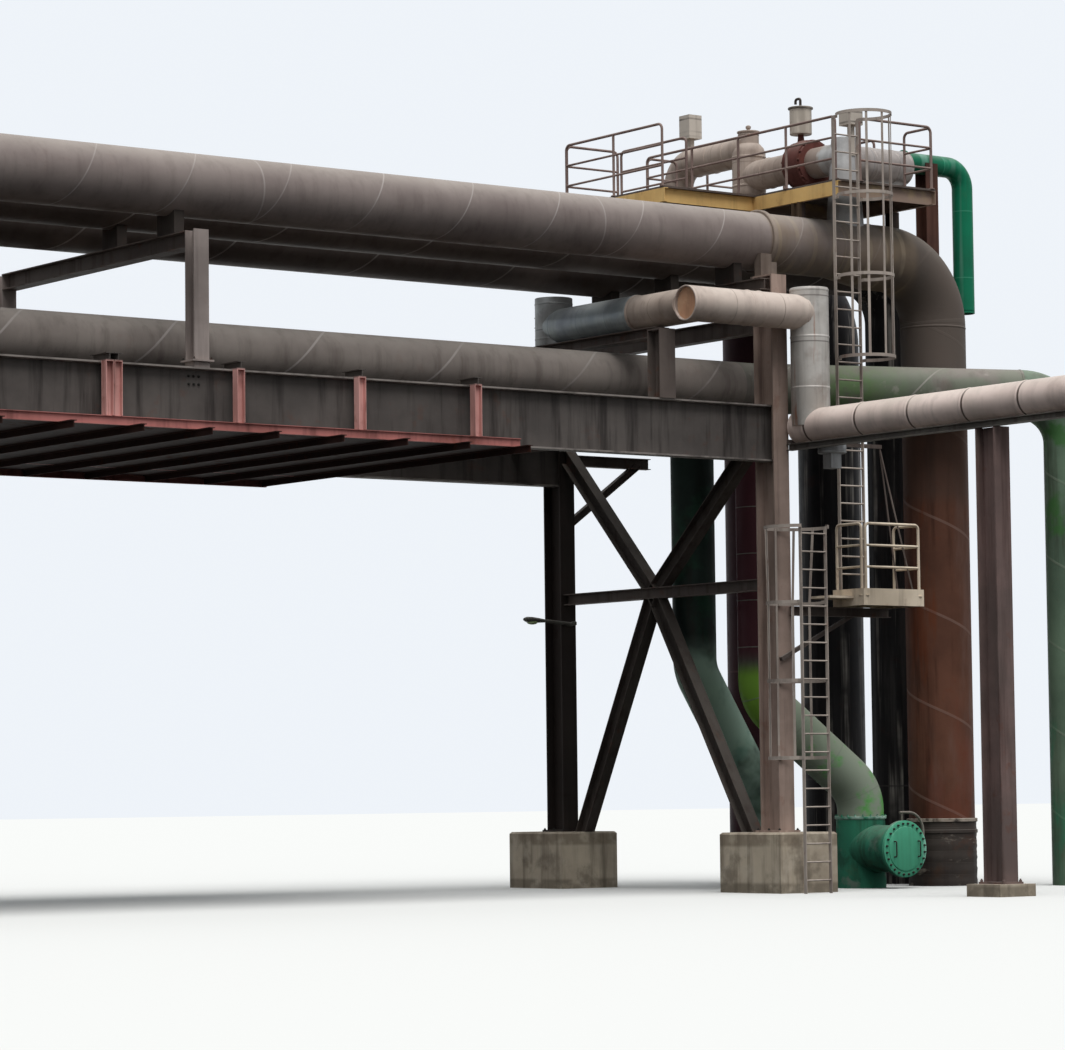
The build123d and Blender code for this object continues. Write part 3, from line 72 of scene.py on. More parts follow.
def grid_shape(rows, along):
    """Faces over closed rows of points: face i, j joins rows i and i + 1 at columns j and j + 1."""
    count, width = rows.shape[:2]
    i, j = np.meshgrid(np.arange(count - 1), np.arange(width), indexing="ij")
    here, beside = i * width, (j + 1) % width
    ahead = here + width
    quads = np.stack([here + j, here + beside, ahead + beside, ahead + j], axis=-1)
    turn = np.stack([j, j + 1, j + 1, j], axis=-1) / width
    reach = np.stack([along[i], along[i], along[i + 1], along[i + 1]], axis=-1)
    corners = np.stack([reach, turn], axis=-1)
    return rows.reshape(-1, 3), quads.reshape(-1, 4), corners.reshape(-1, 4, 2)


def lid_quads(first, width, middle):
    """Flat lid over a ring of points: each face joins the middle point to three rim points in turn."""
    k = np.arange(width // 2)
    rim = [first + 2 * k, first + 2 * k + 1, first + (2 * k + 2) % width]
    return np.stack([*rim, np.full(len(k), middle)], axis=-1)


def closed(rows, along):
    """A grid with a lid on both ends, which share the grid's own rim points."""
    points, quads, corners = grid_shape(rows, np.asarray(along, float))
    count, width = rows.shape[:2]
    last = (count - 1) * width
    middles = np.stack([rows[0].mean(axis=0), rows[-1].mean(axis=0)])
    start = lid_quads(0, width, count * width)[:, ::-1]
    end = lid_quads(last, width, count * width + 1)
    lids = np.zeros((len(start) + len(end), 4, 2))
    lids[:len(start), :, 0] = along[0]
    lids[len(start):, :, 0] = along[-1]
    return np.vstack([points, middles]), np.vstack([quads, start, end]), np.vstack([corners, lids])


def together(shapes):
    """One shape from many: each one's faces count on from the points before it."""
    starts = np.cumsum([0] + [len(points) for points, _, _ in shapes[:-1]])
    points = np.vstack([points for points, _, _ in shapes])
    quads = np.vstack([quads + start for (_, quads, _), start in zip(shapes, starts)])
    return points, quads, np.vstack([corners for _, _, corners in shapes])


def copies(shape, places):
    """The same shape at every place: its points plus the place, its faces counted on."""
    points, quads, corners = shape
    places = np.asarray(places, float).reshape(-1, 3)
    spread = points[None] + places[:, None]
    shifted = quads[None] + np.arange(len(places))[:, None, None] * len(points)
    return spread.reshape(-1, 3), shifted.reshape(-1, 4), np.tile(corners, (len(places), 1, 1))


print("a lid over a ring of", AROUND, "points has", len(lid_quads(0, AROUND, AROUND)), "faces")

# %% [markdown]
# A shape becomes an object once its faces point outwards: the volume that they close tells which way
# they point. The arrays go into the mesh in one call each, and the piece rides on the bridge.

# %% Shapes into objects
SHARP_ANGLE = math.radians(35)


def outward(shape):
    """Turns the faces round if the volume that they close counts as negative."""
    points, quads, corners = shape
    a, b, c, d = (points[quads[:, k]] for k in range(4))
    volume = np.einsum("ij,ij->", a, np.cross(b, c)) + np.einsum("ij,ij->", a, np.cross(c, d))
    return shape if volume >= 0 else (points, quads[:, ::-1], corners[:, ::-1])


def piece(name, shapes, material, slot, *replaces):
    """A mesh of shapes, each closed by itself, in place of the CAD nodes that it replaces."""
    points, quads, corners = together([outward(shape) for shape in shapes])
    mesh = bpy.data.meshes.new(name)
    mesh.vertices.add(len(points))
    mesh.vertices.foreach_set("co", points.astype(np.float32).ravel())
    mesh.loops.add(quads.size)
    mesh.loops.foreach_set("vertex_index", quads.astype(np.int32).ravel())
    mesh.polygons.add(len(quads))
    mesh.polygons.foreach_set("loop_start", np.arange(0, quads.size, 4, dtype=np.int32))
    mesh.polygons.foreach_set("loop_total", np.full(len(quads), 4, dtype=np.int32))
    mesh.update(calc_edges=True)
    layer = mesh.uv_layers.new(name="Surface")
    layer.data.foreach_set("uv", corners.astype(np.float32).ravel())
    mesh.validate()
    mesh.shade_smooth()
    mesh.set_sharp_from_angle(angle=SHARP_ANGLE)
    mesh.materials.append(material)
    made = bpy.data.objects.new(name, mesh)
    bpy.context.scene.collection.objects.link(made)
    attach(made, "root")
    if replaces:
        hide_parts(*replaces)
    print(name, "has", len(quads), "faces")


# %% [markdown]
# A pipe is a ring carried along a route: straight runs, and a round arc at each corner. An arc of
# radius R meets its runs at R times the tangent of half the turn, before and after the corner.

# %% Routes and pipes
def straight_run(start, end, spacing):
    """Even points from start to end, no further apart than the spacing."""
    count = max(1, math.ceil(np.linalg.norm(end - start) / spacing))
    share = np.linspace(0, 1, count + 1)[:, None]
    return start * (1 - share) + end * share


def route(corners, bend=0.0, steps=14, spacing=2.0):
    """Points and directions along straight runs that arcs of one radius join."""
    corners = np.asarray(corners, float)
    ways = [unit(b - a) for a, b in zip(corners, corners[1:])]
    turns = [math.acos(np.clip(a @ b, -1, 1)) for a, b in zip(ways, ways[1:])]
    trims = [0.0, *(bend * math.tan(turn / 2) for turn in turns), 0.0]
    places, headings = [], []
    for index, way in enumerate(ways):
        start = corners[index] + way * trims[index]
        end = corners[index + 1] - way * trims[index + 1]
        run = straight_run(start, end, spacing)
        places.append(run)
        headings.append(np.tile(way, (len(run), 1)))
        if index < len(turns) and bend > 0:
            inward = unit(ways[index + 1] - way * (way @ ways[index + 1]))
            phase = np.linspace(0, turns[index], steps + 1)[1:-1, None]
            places.append(end + inward * bend * (1 - np.cos(phase)) + way * bend * np.sin(phase))
            headings.append(way * np.cos(phase) + inward * np.sin(phase))
    return np.vstack(places), np.vstack(headings)


def carried(outline, places, headings, scale=1.0, up=UP):
    """Rows of points: the outline's first number goes across the route, its second along raised."""
    bends = np.cross(headings[0], headings)
    widest = bends[np.argmax(np.linalg.norm(bends, axis=1))]
    if np.linalg.norm(widest) > 1e-6:
        side = unit(widest)
    else:
        upright = abs(headings[0] @ unit(up)) > 0.99
        side = unit(np.cross(NEARER if upright else up, headings[0]))
    raised = np.cross(headings, side)
    scale = np.broadcast_to(np.asarray(scale, float), (len(places),))[:, None, None]
    section = outline[None, :, :1] * side + outline[None, :, 1:] * raised[:, None]
    return places[:, None] + scale * section


def circle(around=AROUND):
    """Points round a circle of radius one."""
    angle = np.linspace(0, 2 * math.pi, around, endpoint=False)
    return np.stack([np.cos(angle), np.sin(angle)], axis=-1)


def lengths(places):
    """Distance along a route at each station."""
    return np.concatenate([[0], np.cumsum(np.linalg.norm(np.diff(places, axis=0), axis=1))])


def pipe(corners, radius, bend=0.0, around=AROUND, steps=14, spacing=2.0, up=UP):
    """A closed round pipe along a route of corners."""
    places, headings = route(corners, bend, steps, spacing)
    return closed(carried(circle(around), places, headings, radius, up), lengths(places))


print("a test pipe has", len(pipe([(0, 0, 0), (1, 0, 0), (1, 0, -1)], 0.1, bend=0.3)[1]), "faces")

# %% [markdown]
# Flanges, weld beads, bands, bolts and vessels are profiles turned about an axis, and flat bars are
# outlines of four points carried along a straight line. All of them use the same few lines.

# %% Turned and flat parts
def turned_body(profile, place, axis, around=AROUND):
    """A closed body of revolution: each pair is a distance along the axis and a radius."""
    profile = np.asarray(profile, float)
    axis = unit(axis)
    places = np.asarray(place, float) + profile[:, :1] * axis
    headings = np.tile(axis, (len(profile), 1))
    return closed(carried(circle(around), places, headings, profile[:, 1]), lengths(profile))


def collars(start, axis, reaches, radius, width, height, around=AROUND):
    """Low rounded rings round a pipe, at their reaches from the start along the axis."""
    phase = np.linspace(0, math.pi, 7)
    outer = radius - height + 2 * height * np.sin(phase)
    profile = np.stack([width / 2 * (1 - np.cos(phase)), outer], axis=-1)
    return [turned_body(profile, np.asarray(start, float) + reach * np.asarray(axis, float), axis, around)
            for reach in reaches]


def flange(place, axis, radius, thickness, chamfer=0.006, around=AROUND):
    """A flat round plate with small chamfers."""
    inner, end = radius - chamfer, thickness - chamfer
    profile = [(0, inner), (chamfer, radius), (end, radius), (thickness, inner)]
    return turned_body(profile, place, axis, around)


def cup(place, axis, outer, inner, depth, around=80):
    """An open end: outer wall, rim, inner wall and a floor, as one profile turned about the axis."""
    edge = [(0.004, outer), (0, outer - 0.004), (0, inner + 0.003), (0.003, inner)]
    return turned_body([(depth, outer), *edge, (depth * 0.9, inner)], place, axis, around)


def ring_places(place, axis, radius, count, phase=0.0):
    """Even places round a circle about an axis."""
    axis = unit(axis)
    first = unit(np.cross(UP if abs(axis[2]) < 0.9 else AWAY, axis))
    second = np.cross(axis, first)
    angle = phase + np.linspace(0, 2 * math.pi, count, endpoint=False)[:, None]
    return np.asarray(place, float) + radius * (np.cos(angle) * first + np.sin(angle) * second)


def bolts(places, axis, size, height):
    """At every place a hexagonal head with a rounded crown, and the tip of its bolt."""
    head = [(0, size), (height * 0.7, size), (height, size * 0.82)]
    tip = [(height * 0.9, size * 0.5), (height * 1.7, size * 0.5)]
    origin = (0, 0, 0)
    parts = [turned_body(head, origin, axis, around=6), turned_body(tip, origin, axis, around=8)]
    return copies(together(parts), places)


def block(low, high, chamfer=0.004):
    """A box between two corners with chamfered upright edges."""
    low, high = np.asarray(low, float), np.asarray(high, float)
    half = (high[:2] - low[:2]) / 2
    cut = min(chamfer, 0.3 * half.min())
    signs = np.array([[-1, -1], [1, -1], [1, 1], [-1, 1]])
    first = signs * (half - [cut, 0])
    second = signs * (half - [0, cut])
    pairs = [(second[0], first[0]), (first[1], second[1]), (second[2], first[2]), (first[3], second[3])]
    ring = np.array([point for pair in pairs for point in pair]) + (high[:2] + low[:2]) / 2
    rows = np.stack([np.column_stack([ring, np.full(8, z)]) for z in (low[2], high[2])])
    return closed(rows, [0.0, high[2] - low[2]])


def flat_outline(wide, deep):
    """The four corners of a flat bar's section."""
    return np.array([[-wide, -deep], [wide, -deep], [wide, deep], [-wide, deep]]) / 2


def bar(start, end, wide, deep, up=UP):
    """A flat bar from start to end: deep along up, and wide across it."""
    places = np.array([start, end], float)
    headings = np.tile(unit(places[1] - places[0]), (2, 1))
    return closed(carried(flat_outline(wide, deep), places, headings, 1.0, up), lengths(places))


print("one bolt has", len(bolts([(0, 0, 0)], UP, size=0.02, height=0.02)[1]), "faces")

# %% [markdown]
# Paint and rust are worked out by small expressions. A socket is wrapped so that plus, minus, times
# and the rest add their own Math nodes, and every other node comes from one method.

# %% A wrapped socket and a node maker
class Flow:
    """A socket's value that can be used in arithmetic."""

    def __init__(self, maker, socket):
        self.maker = maker
        self.socket = socket

    def math(self, operation, first, second=0.0):
        """A Math node of two values."""
        return self.maker.node("ShaderNodeMath", {"operation": operation}, {0: first, 1: second})

    def __add__(self, other):
        return self.math("ADD", self, other)

    def __sub__(self, other):
        return self.math("SUBTRACT", self, other)

    def __mul__(self, other):
        return self.math("MULTIPLY", self, other)

    def __truediv__(self, other):
        return self.math("DIVIDE", self, other)

    def __rsub__(self, other):
        return self.math("SUBTRACT", other, self)

    __radd__ = __add__
    __rmul__ = __mul__

    def most(self, other):
        """The larger of two values."""
        return self.math("MAXIMUM", self, other)

    def ramp(self, low, high):
        """Nought below low, one above high, and a smooth rise between."""
        settings = {"interpolation_type": "SMOOTHSTEP"}
        return self.maker.node("ShaderNodeMapRange", settings, {0: self, 1: low, 2: high})

    def between(self, low, high, soft=0.004):
        """One from low to high and nought outside, with soft edges."""
        return self.ramp(low - soft, low) * (1 - self.ramp(high, high + soft))

    def line(self, share):
        """One where a value is close to a whole number, within the share on both sides."""
        apart = 0.5 - self.math("ABSOLUTE", self.math("FRACT", self) - 0.5)
        return 1 - apart.ramp(share * 0.5, share)


class Maker:
    """A node tree under construction."""

    def __init__(self, tree):
        self.tree = tree
        self.tree.nodes.clear()

    def node(self, kind, settings=None, sockets=None, output=0):
        """A node with its settings made first, then its sockets' values or links."""
        made = self.tree.nodes.new(kind)
        for key, value in (settings or {}).items():
            setattr(made, key, value)
        for key, value in (sockets or {}).items():
            if isinstance(value, Flow):
                self.tree.links.new(value.socket, made.inputs[key])
            else:
                made.inputs[key].default_value = value
        return Flow(self, made.outputs[output]) if made.outputs else None

    def every_output(self, flow):
        """All outputs of the node that a value comes from."""
        return [Flow(self, output) for output in flow.socket.node.outputs]


def srgb(colour):
    """A colour as read off a screen, 0 to 255, made linear; a socket's value stays as it is."""
    if isinstance(colour, Flow):
        return colour
    share = np.array(colour) / 255
    line = np.where(share <= 0.04045, share / 12.92, ((share + 0.055) / 1.055) ** 2.4)
    return (*line.tolist(), 1.0)


class Paint(Maker):
    """A node material under construction, with the places and turns that its patterns follow."""

    def __init__(self, name):
        self.material = bpy.data.materials.new(name)
        self.material.use_nodes = True
        super().__init__(self.material.node_tree)
        self.along, self.turn, _ = self.split(self.node("ShaderNodeUVMap", {"uv_map": "Surface"}))
        self.x, self.y, self.z = self.split(self.node("ShaderNodeTexCoord", output="Object"))

    def split(self, vector):
        """The three numbers of a vector."""
        return self.every_output(self.node("ShaderNodeSeparateXYZ", {}, {0: vector}))

    def noise(self, scale, detail=4.0, drawn=1.0, shift=0.0):
        """Cloudy noise from nought to one; a small share drawn stretches it up and down."""
        sockets = {0: self.x + shift, 1: self.y + shift, 2: self.z * drawn}
        place = self.node("ShaderNodeCombineXYZ", {}, sockets)
        settings = {"Vector": place, "Scale": scale, "Detail": detail, "Roughness": 0.6}
        return self.node("ShaderNodeTexNoise", {}, settings)

    def colour(self, share, first, second):
        """The first colour where share is nought, the second where it is one."""
        settings = {"data_type": "RGBA", "clamp_factor": True}
        return self.node("ShaderNodeMix", settings, {0: share, 6: srgb(first), 7: srgb(second)}, output=2)

    def facing_up(self):
        """The upward part of the surface's direction, from minus one to one."""
        return self.split(self.node("ShaderNodeNewGeometry", output="Normal"))[2]

    def finish(self, colour, rough, metal, height, shine):
        """The shader with what varies linked to it."""
        bump = self.node("ShaderNodeBump", {}, {"Strength": 0.25, "Distance": 0.006, "Height": height})
        sockets = {"Base Color": colour, "Roughness": rough, "Metallic": metal, "Specular IOR Level": shine,
                   "Normal": bump}
        shader = self.node("ShaderNodeBsdfPrincipled", {}, sockets)
        self.node("ShaderNodeOutputMaterial", {}, {"Surface": shader})
        return self.material


print("a screen grey of 128 is", round(srgb((128, 128, 128))[0], 3), "in linear light")

# %% [markdown]
# Old paint on plant steel is never one colour. Clouds of wear change it slowly, rain draws streaks
# down it, dust lightens what faces up, and rust breaks through in spots. Where its share is large, the
# dust is painted top light too: the lighter top that the sky gives. Every paint starts from this, and
# a piece with marks of its own, such as weld seams, adds them before the paint is ended.

# %% Weathered paint
RUST = (116, 62, 38)
DARK_RUST = (46, 28, 23)
DUST_AND_TOP_LIGHT = (188, 180, 170)


def weathered(name, base, worn, rust=0.3, streaks=0.4, dust_and_top_light=0.15, rough=0.6, drip=DARK_RUST, metal=0.0,
              marks=(), shine=0.06):
    """Paint between two colours with streaks, dust and rust by their shares; the dust also paints top light.
    """
    paint = Paint(name)
    clouds = paint.noise(0.7, detail=5.0).ramp(0.35, 0.68)
    speck = paint.noise(9.0, detail=6.0, shift=3.0)
    colour = paint.colour(clouds, base, worn)
    drips = paint.noise(5.5, detail=4.0, drawn=0.07, shift=7.0).ramp(0.46, 0.72)
    colour = paint.colour(drips * streaks, colour, drip)
    spots = (paint.noise(2.2, detail=8.0, shift=11.0) * 0.7 + speck * 0.3).ramp(0.56, 0.66)
    colour = paint.colour(spots * rust, colour, RUST)
    height = speck + spots * 0.5
    for mark in marks:
        colour, height = mark(paint, colour, height)
    # Lighter where the surface faces up: dust, and painted top light where the share is large.
    colour = paint.colour(paint.facing_up().ramp(0.2, 1.0) * dust_and_top_light, colour, DUST_AND_TOP_LIGHT)
    return paint.finish(colour, speck * 0.2 + spots * 0.2 + (rough - 0.1), metal, height, shine)


print("rust, streaks and dust are mixed in by their shares, from 0 to 1")

# %% [markdown]
# Large pipes are rolled from plate, so a pale weld climbs round them as a helix, and ring welds
# join the lengths. Sheet over insulation shows a lap at each length and a dark joint along it. Each
# function below gives back a mark: it takes the colour and height so far and adds its own.

# %% Marks that single pieces add
def helix(pitch, pale, share=0.014, lift=1.6):
    """A seam that climbs round the pipe: length over pitch plus turn is a whole number on it."""
    def mark(paint, colour, height):
        seam = (paint.along / pitch + paint.turn).line(share)
        broken = paint.noise(1.3, detail=3.0, shift=5.0).ramp(0.3, 0.6) * 0.5 + 0.5
        return paint.colour(seam * broken * 0.6, colour, pale), height + seam * lift
    return mark


def rings(spacing, shade, share=0.01, lift=1.2, shift=0.0, strength=0.7):
    """Ring seams at an even spacing along the pipe."""
    def mark(paint, colour, height):
        seam = (paint.along / spacing + shift).line(share)
        return paint.colour(seam * strength, colour, shade), height + seam * lift
    return mark


def lap(turn, shade, share=0.006):
    """One joint along the pipe at a given turn."""
    def mark(paint, colour, height):
        seam = (paint.turn - turn).line(share)
        return paint.colour(seam * 0.6, colour, shade), height - seam
    return mark


def patches(shade, scale, spread, amount=1.0, shift=0.0, drawn=1.0, over=None, under=None, soft=0.15):
    """Patches of another colour over the noise's spread, between two heights if they are given."""
    def mark(paint, colour, height):
        share = paint.noise(scale, detail=5.0, drawn=drawn, shift=shift).ramp(*spread) * amount
        if over is not None:
            share = share * paint.z.ramp(over - soft, over + soft)
        if under is not None:
            share = share * (1 - paint.z.ramp(under - soft, under + soft))
        return paint.colour(share, colour, shade), height
    return mark


def beyond(axis, middle, shade, soft=0.02, amount=1.0):
    """Another colour past a place along one axis."""
    def mark(paint, colour, height):
        place = getattr(paint, axis)
        return paint.colour(place.ramp(middle - soft, middle + soft) * amount, colour, shade), height
    return mark


def within(axis, low, high, shade, amount=0.8, soft=0.15, scale=2.0, pitch=None):
    """Broken patches of another colour between two places on an axis, as rings if they have a pitch."""
    def mark(paint, colour, height):
        broken = paint.noise(scale, detail=4.0, shift=low).ramp(0.3, 0.55)
        share = getattr(paint, axis).between(low, high, soft) * broken * amount
        if pitch:
            share = share * (paint.along / pitch).line(0.16)
        return paint.colour(share, colour, shade), height
    return mark


def runs(shade, scale, spread, amount):
    """Thin upright streaks, as rain leaves on a dark pipe."""
    def mark(paint, colour, height):
        share = paint.noise(scale, detail=3.0, drawn=0.03, shift=21.0).ramp(*spread)
        broken = paint.noise(1.1, detail=3.0, shift=2.0).ramp(0.35, 0.65)
        return paint.colour(share * broken * amount, colour, shade), height
    return mark


def edges_at(levels, shade, amount=0.8):
    """Level strips, as the bare edges of flanges, each between two heights."""
    def mark(paint, colour, height):
        for low, high in levels:
            worn = paint.noise(3.0, detail=4.0, shift=9.0).ramp(0.25, 0.6)
            colour = paint.colour(paint.z.between(low, high) * worn * amount, colour, shade)
        return colour, height
    return mark


print("marks: helix, rings, lap, patches, beyond, within, runs, edges_at")

# %% [markdown]
# Every slot of the model has one stock finish. The rolled steelwork that stays as CAD gets paints of
# its own where the photograph shows them: bare flange edges, hangers with hooks of another grey, a
# deck that is nearly black, and painted shade on the far column and the braces, which lie in shade
# at the back.

# %% Stock finishes
FINISHES = {
    # colour, worn colour, shares of rust, streaks and dust with painted top light, and roughness
    "grey_steel": ((104, 94, 88), (84, 75, 71), 0.3, 0.5, 0.2, 0.6),
    "red_steel": ((186, 122, 116), (152, 98, 92), 0.3, 0.45, 0.2, 0.6),
    "cream_steel": ((228, 212, 190), (198, 182, 160), 0.3, 0.3, 0.1, 0.6),
    "yellow_steel": ((200, 165, 92), (178, 145, 84), 0.5, 0.3, 0.1, 0.6),
    "brown_rail": ((150, 130, 122), (120, 101, 96), 0.35, 0.3, 0.2, 0.6),
    "concrete": ((206, 192, 170), (172, 158, 140), 0.05, 0.5, 0.2, 0.85),
    "taupe_pipe": ((122, 112, 107), (108, 98, 94), 0.08, 0.22, 0.25, 0.5),
    "red_pipe": ((96, 66, 56), (76, 54, 48), 0.3, 0.6, 0.1, 0.6),
    "black_wrap": ((34, 32, 31), (52, 46, 42), 0.2, 0.4, 0.2, 0.6),
    "dark_pipe": ((48, 46, 46), (36, 34, 35), 0.1, 0.4, 0.2, 0.5),
    "maroon_pipe": ((72, 42, 45), (56, 33, 37), 0.1, 0.4, 0.1, 0.55),
    "green_pipe": ((92, 118, 92), (76, 96, 80), 0.1, 0.4, 0.2, 0.55),
    "rust_cast": ((84, 42, 36), (64, 36, 32), 0.5, 0.4, 0.1, 0.75),
    "teal_cover": ((70, 158, 124), (62, 138, 108), 0.1, 0.3, 0.1, 0.45),
    "lagging": ((150, 136, 126), (132, 118, 109), 0.08, 0.2, 0.2, 0.45),
    "galvanised": ((150, 152, 152), (124, 126, 128), 0.1, 0.2, 0.1, 0.45),
    "cladding": ((170, 172, 176), (140, 143, 148), 0.05, 0.2, 0.1, 0.35),
    "vent_green": ((28, 122, 90), (34, 105, 80), 0.05, 0.2, 0.1, 0.45),
}
stock_marks = {"concrete": [patches((206, 194, 176), 2.0, (0.5, 0.7), amount=0.5, shift=4.0),
                            patches((104, 94, 82), 1.6, (0.52, 0.68), amount=0.6, shift=15.0),
                            within("z", 0.74, 0.93, (118, 104, 88), amount=0.6, soft=0.06, scale=2.4),
                            within("z", 0.0, 0.12, (104, 96, 82), amount=0.6, soft=0.06, scale=3.0)]}
PAINTS = {name: weathered(name, *values, marks=stock_marks.get(name, ()))
          for name, values in FINISHES.items()}
print("stock finishes:", ", ".join(PAINTS))

# %% [markdown]
# The numbers after a paint's two colours are its shares of rust, streaks and dust with painted top light, and
# its roughness.
# Marks lie at real heights: the girders' flange edges are bare, and the gallery's yellow is worn off
# towards its right side.

# %% Paints of single steel parts
GIRDER_LOW, GIRDER_HIGH, GIRDER_EDGE = 6.63, 7.5, 0.028
girder_edges = edges_at([(GIRDER_LOW, GIRDER_LOW + GIRDER_EDGE), (GIRDER_HIGH - GIRDER_EDGE, GIRDER_HIGH)],
                        (150, 142, 136))
gallery_marks = [beyond("x", 1.125, (150, 130, 122), soft=0.01, amount=0.92),
                 patches((228, 200, 140), 1.4, (0.5, 0.62), amount=0.5, shift=5.0, over=11.0),
                 within("z", 9.4, 10.86, (60, 50, 47), amount=0.95, soft=0.01, scale=0.5)]
hanger_marks = [runs((112, 52, 44), 9.0, (0.5, 0.62), amount=0.75), beyond("z", 7.497, (92, 86, 82))]
box_seams = [within("z", low, low + 0.025, (70, 64, 60), amount=0.9, soft=0.004, scale=0.6)
             for low in (12.2, 12.36, 12.56, 12.64, 12.86)]
# Past Y = 3 m the columns turn nearly black: painted shade on the far column, which stands under the deck.
far_shaded_column_paint = weathered("far_shaded_column_paint", (172, 150, 138), (140, 122, 112), rust=0.25, streaks=0.45, dust_and_top_light=0.1,
                         marks=[beyond("y", 3.0, (34, 31, 30), soft=0.5, amount=0.94)])
# The braces' dark grey is painted shade: they lie in shade at the back.
shaded_brace_paint = weathered("shaded_brace_paint", (84, 77, 72), (68, 62, 58), rust=0.25, streaks=0.5, dust_and_top_light=0.15,
                        shine=0.04)
OWN_PAINTS = {
    "girders": weathered("girder_paint", (98, 92, 88), (80, 75, 72), rust=0.15, streaks=0.75, dust_and_top_light=0.2,
                         drip=(40, 36, 35), marks=[girder_edges]),
    "outrigger": weathered("outrigger_paint", (112, 108, 102), (86, 82, 78), rust=0.2, streaks=0.4, dust_and_top_light=0.2),
    "outrigger_column": weathered("outrigger_column_paint", (130, 108, 103), (104, 90, 86), rust=0.25,
                                  streaks=0.5, dust_and_top_light=0.2),
    "columns": far_shaded_column_paint,
    "hangers": weathered("hanger_paint", (228, 174, 166), (198, 144, 136), rust=0.25, streaks=0.4, dust_and_top_light=0.1,
                         marks=hanger_marks),
    "goalpost_posts": weathered("goalpost_paint", (160, 148, 142), (132, 122, 117), rust=0.12, streaks=0.35,
                                dust_and_top_light=0.2, shine=0.02),
    "deck_plate": weathered("deck_plate_paint", (34, 25, 23), (26, 20, 19), rust=0.15, streaks=0.2, dust_and_top_light=0.1,
                            shine=0.014),
    "deck_ribs": weathered("deck_rib_paint", (60, 42, 38), (46, 33, 31), rust=0.2, streaks=0.3, dust_and_top_light=0.2,
                           shine=0.014),
    "lower_braces": shaded_brace_paint,
    "upper_braces": shaded_brace_paint,
    "upper_saddles": weathered("saddle_paint", (70, 64, 60), (54, 49, 46), rust=0.25, streaks=0.4, dust_and_top_light=0.1,
                               shine=0.02),
    "instrument_boxes": weathered("box_paint", (200, 190, 178), (168, 158, 146), rust=0.1, streaks=0.3,
                                  dust_and_top_light=0.1, marks=box_seams),
    "gallery_beams": weathered("gallery_paint", (232, 194, 128), (208, 168, 108), rust=0.3, streaks=0.3,
                               dust_and_top_light=0.1, drip=(120, 86, 56), marks=gallery_marks),
}
slots = {entry["node"]: entry["material_slot"] for entry in frame["record"]["subparts"]}
for name, node in frame["nodes"].items():
    for index in range(len(node.material_slots)):
        node.material_slots[index].material = OWN_PAINTS.get(name, PAINTS[slots[name]])
print("painted", len(slots), "nodes")

# %% [markdown]
# The near upper pipe is the largest thing in the picture. It is rolled plate: a run of one size, a
# reducer that keeps the top level, an elbow and the riser. A pale seam climbs round the run, one
# turn in 1.6 m, and another round the riser. A blind flange closes each pipe where the bridge ends.

# %% Near upper pipe
RUN_END = -19.27
RUN_START = RUN_END + 0.03
NEAR_Y, NEAR_Z, NEAR_R = 0.70, 10.17, 0.46
RISER_X, RISER_R = 3.955, 0.53
REDUCER_X = (1.7, 2.5)
WIDE_Z = NEAR_Z + NEAR_R - RISER_R
PALE_SEAM = (176, 168, 164)
STATIONS = 12


def blind_flange(y, z, radius):
    """The plate that closes a pipe at the left end of the bridge."""
    return flange((RUN_END, y, z), RIGHT, radius=radius + 0.09, thickness=0.06)


def straight_skin(y, z, radius, end):
    """A pipe with its blind flange, from the left end of the bridge to a place along it."""
    return [pipe([(RUN_START, y, z), (end, y, z)], radius), blind_flange(y, z, radius)]


near_marks = [helix(1.6, PALE_SEAM, share=0.010),
              rings(6.1, PALE_SEAM, share=0.003, shift=0.35, strength=0.4),
              within("x", 0.2, 3.2, (124, 108, 92), amount=0.75, soft=0.05, scale=0.6),
              within("x", 0.3, 3.2, (160, 146, 124), amount=0.4, soft=0.05, scale=1.2, pitch=0.37)]
# Its dust share is raised so that the pipe's top is painted lighter, as the sky lights it.
near_paint = weathered("near_pipe_paint", (139, 128, 123), (122, 111, 107), rust=0.05, streaks=0.2, dust_and_top_light=0.35,
                       rough=0.5, marks=near_marks, shine=0.025)
near_x = np.array([*np.linspace(RUN_START, REDUCER_X[0], STATIONS), REDUCER_X[1]])
near_z = [*np.full(STATIONS, NEAR_Z), WIDE_Z]
near_places = np.column_stack([near_x, np.full(STATIONS + 1, NEAR_Y), near_z])
near_radii = np.array([*np.full(STATIONS, NEAR_R), RISER_R])
near_rows = carried(circle(around=96), near_places, np.tile(RIGHT, (STATIONS + 1, 1)), near_radii)
near_shapes = [closed(near_rows, near_x - RUN_END), blind_flange(NEAR_Y, NEAR_Z, NEAR_R)]
for x, z, radius in zip(REDUCER_X, (NEAR_Z, WIDE_Z), (NEAR_R, RISER_R)):
    near_shapes += collars((x, NEAR_Y, z), RIGHT, [-0.02], radius, width=0.04, height=0.006, around=96)
piece("near_pipe_skin", near_shapes, near_paint, "taupe_pipe", "near_pipe")

# %% [markdown]
# The riser is rust red with a climbing seam of its own. Its patches keep to heights: bleached near
# the top, where it meets the elbow's grey, and bright rust near the ground.

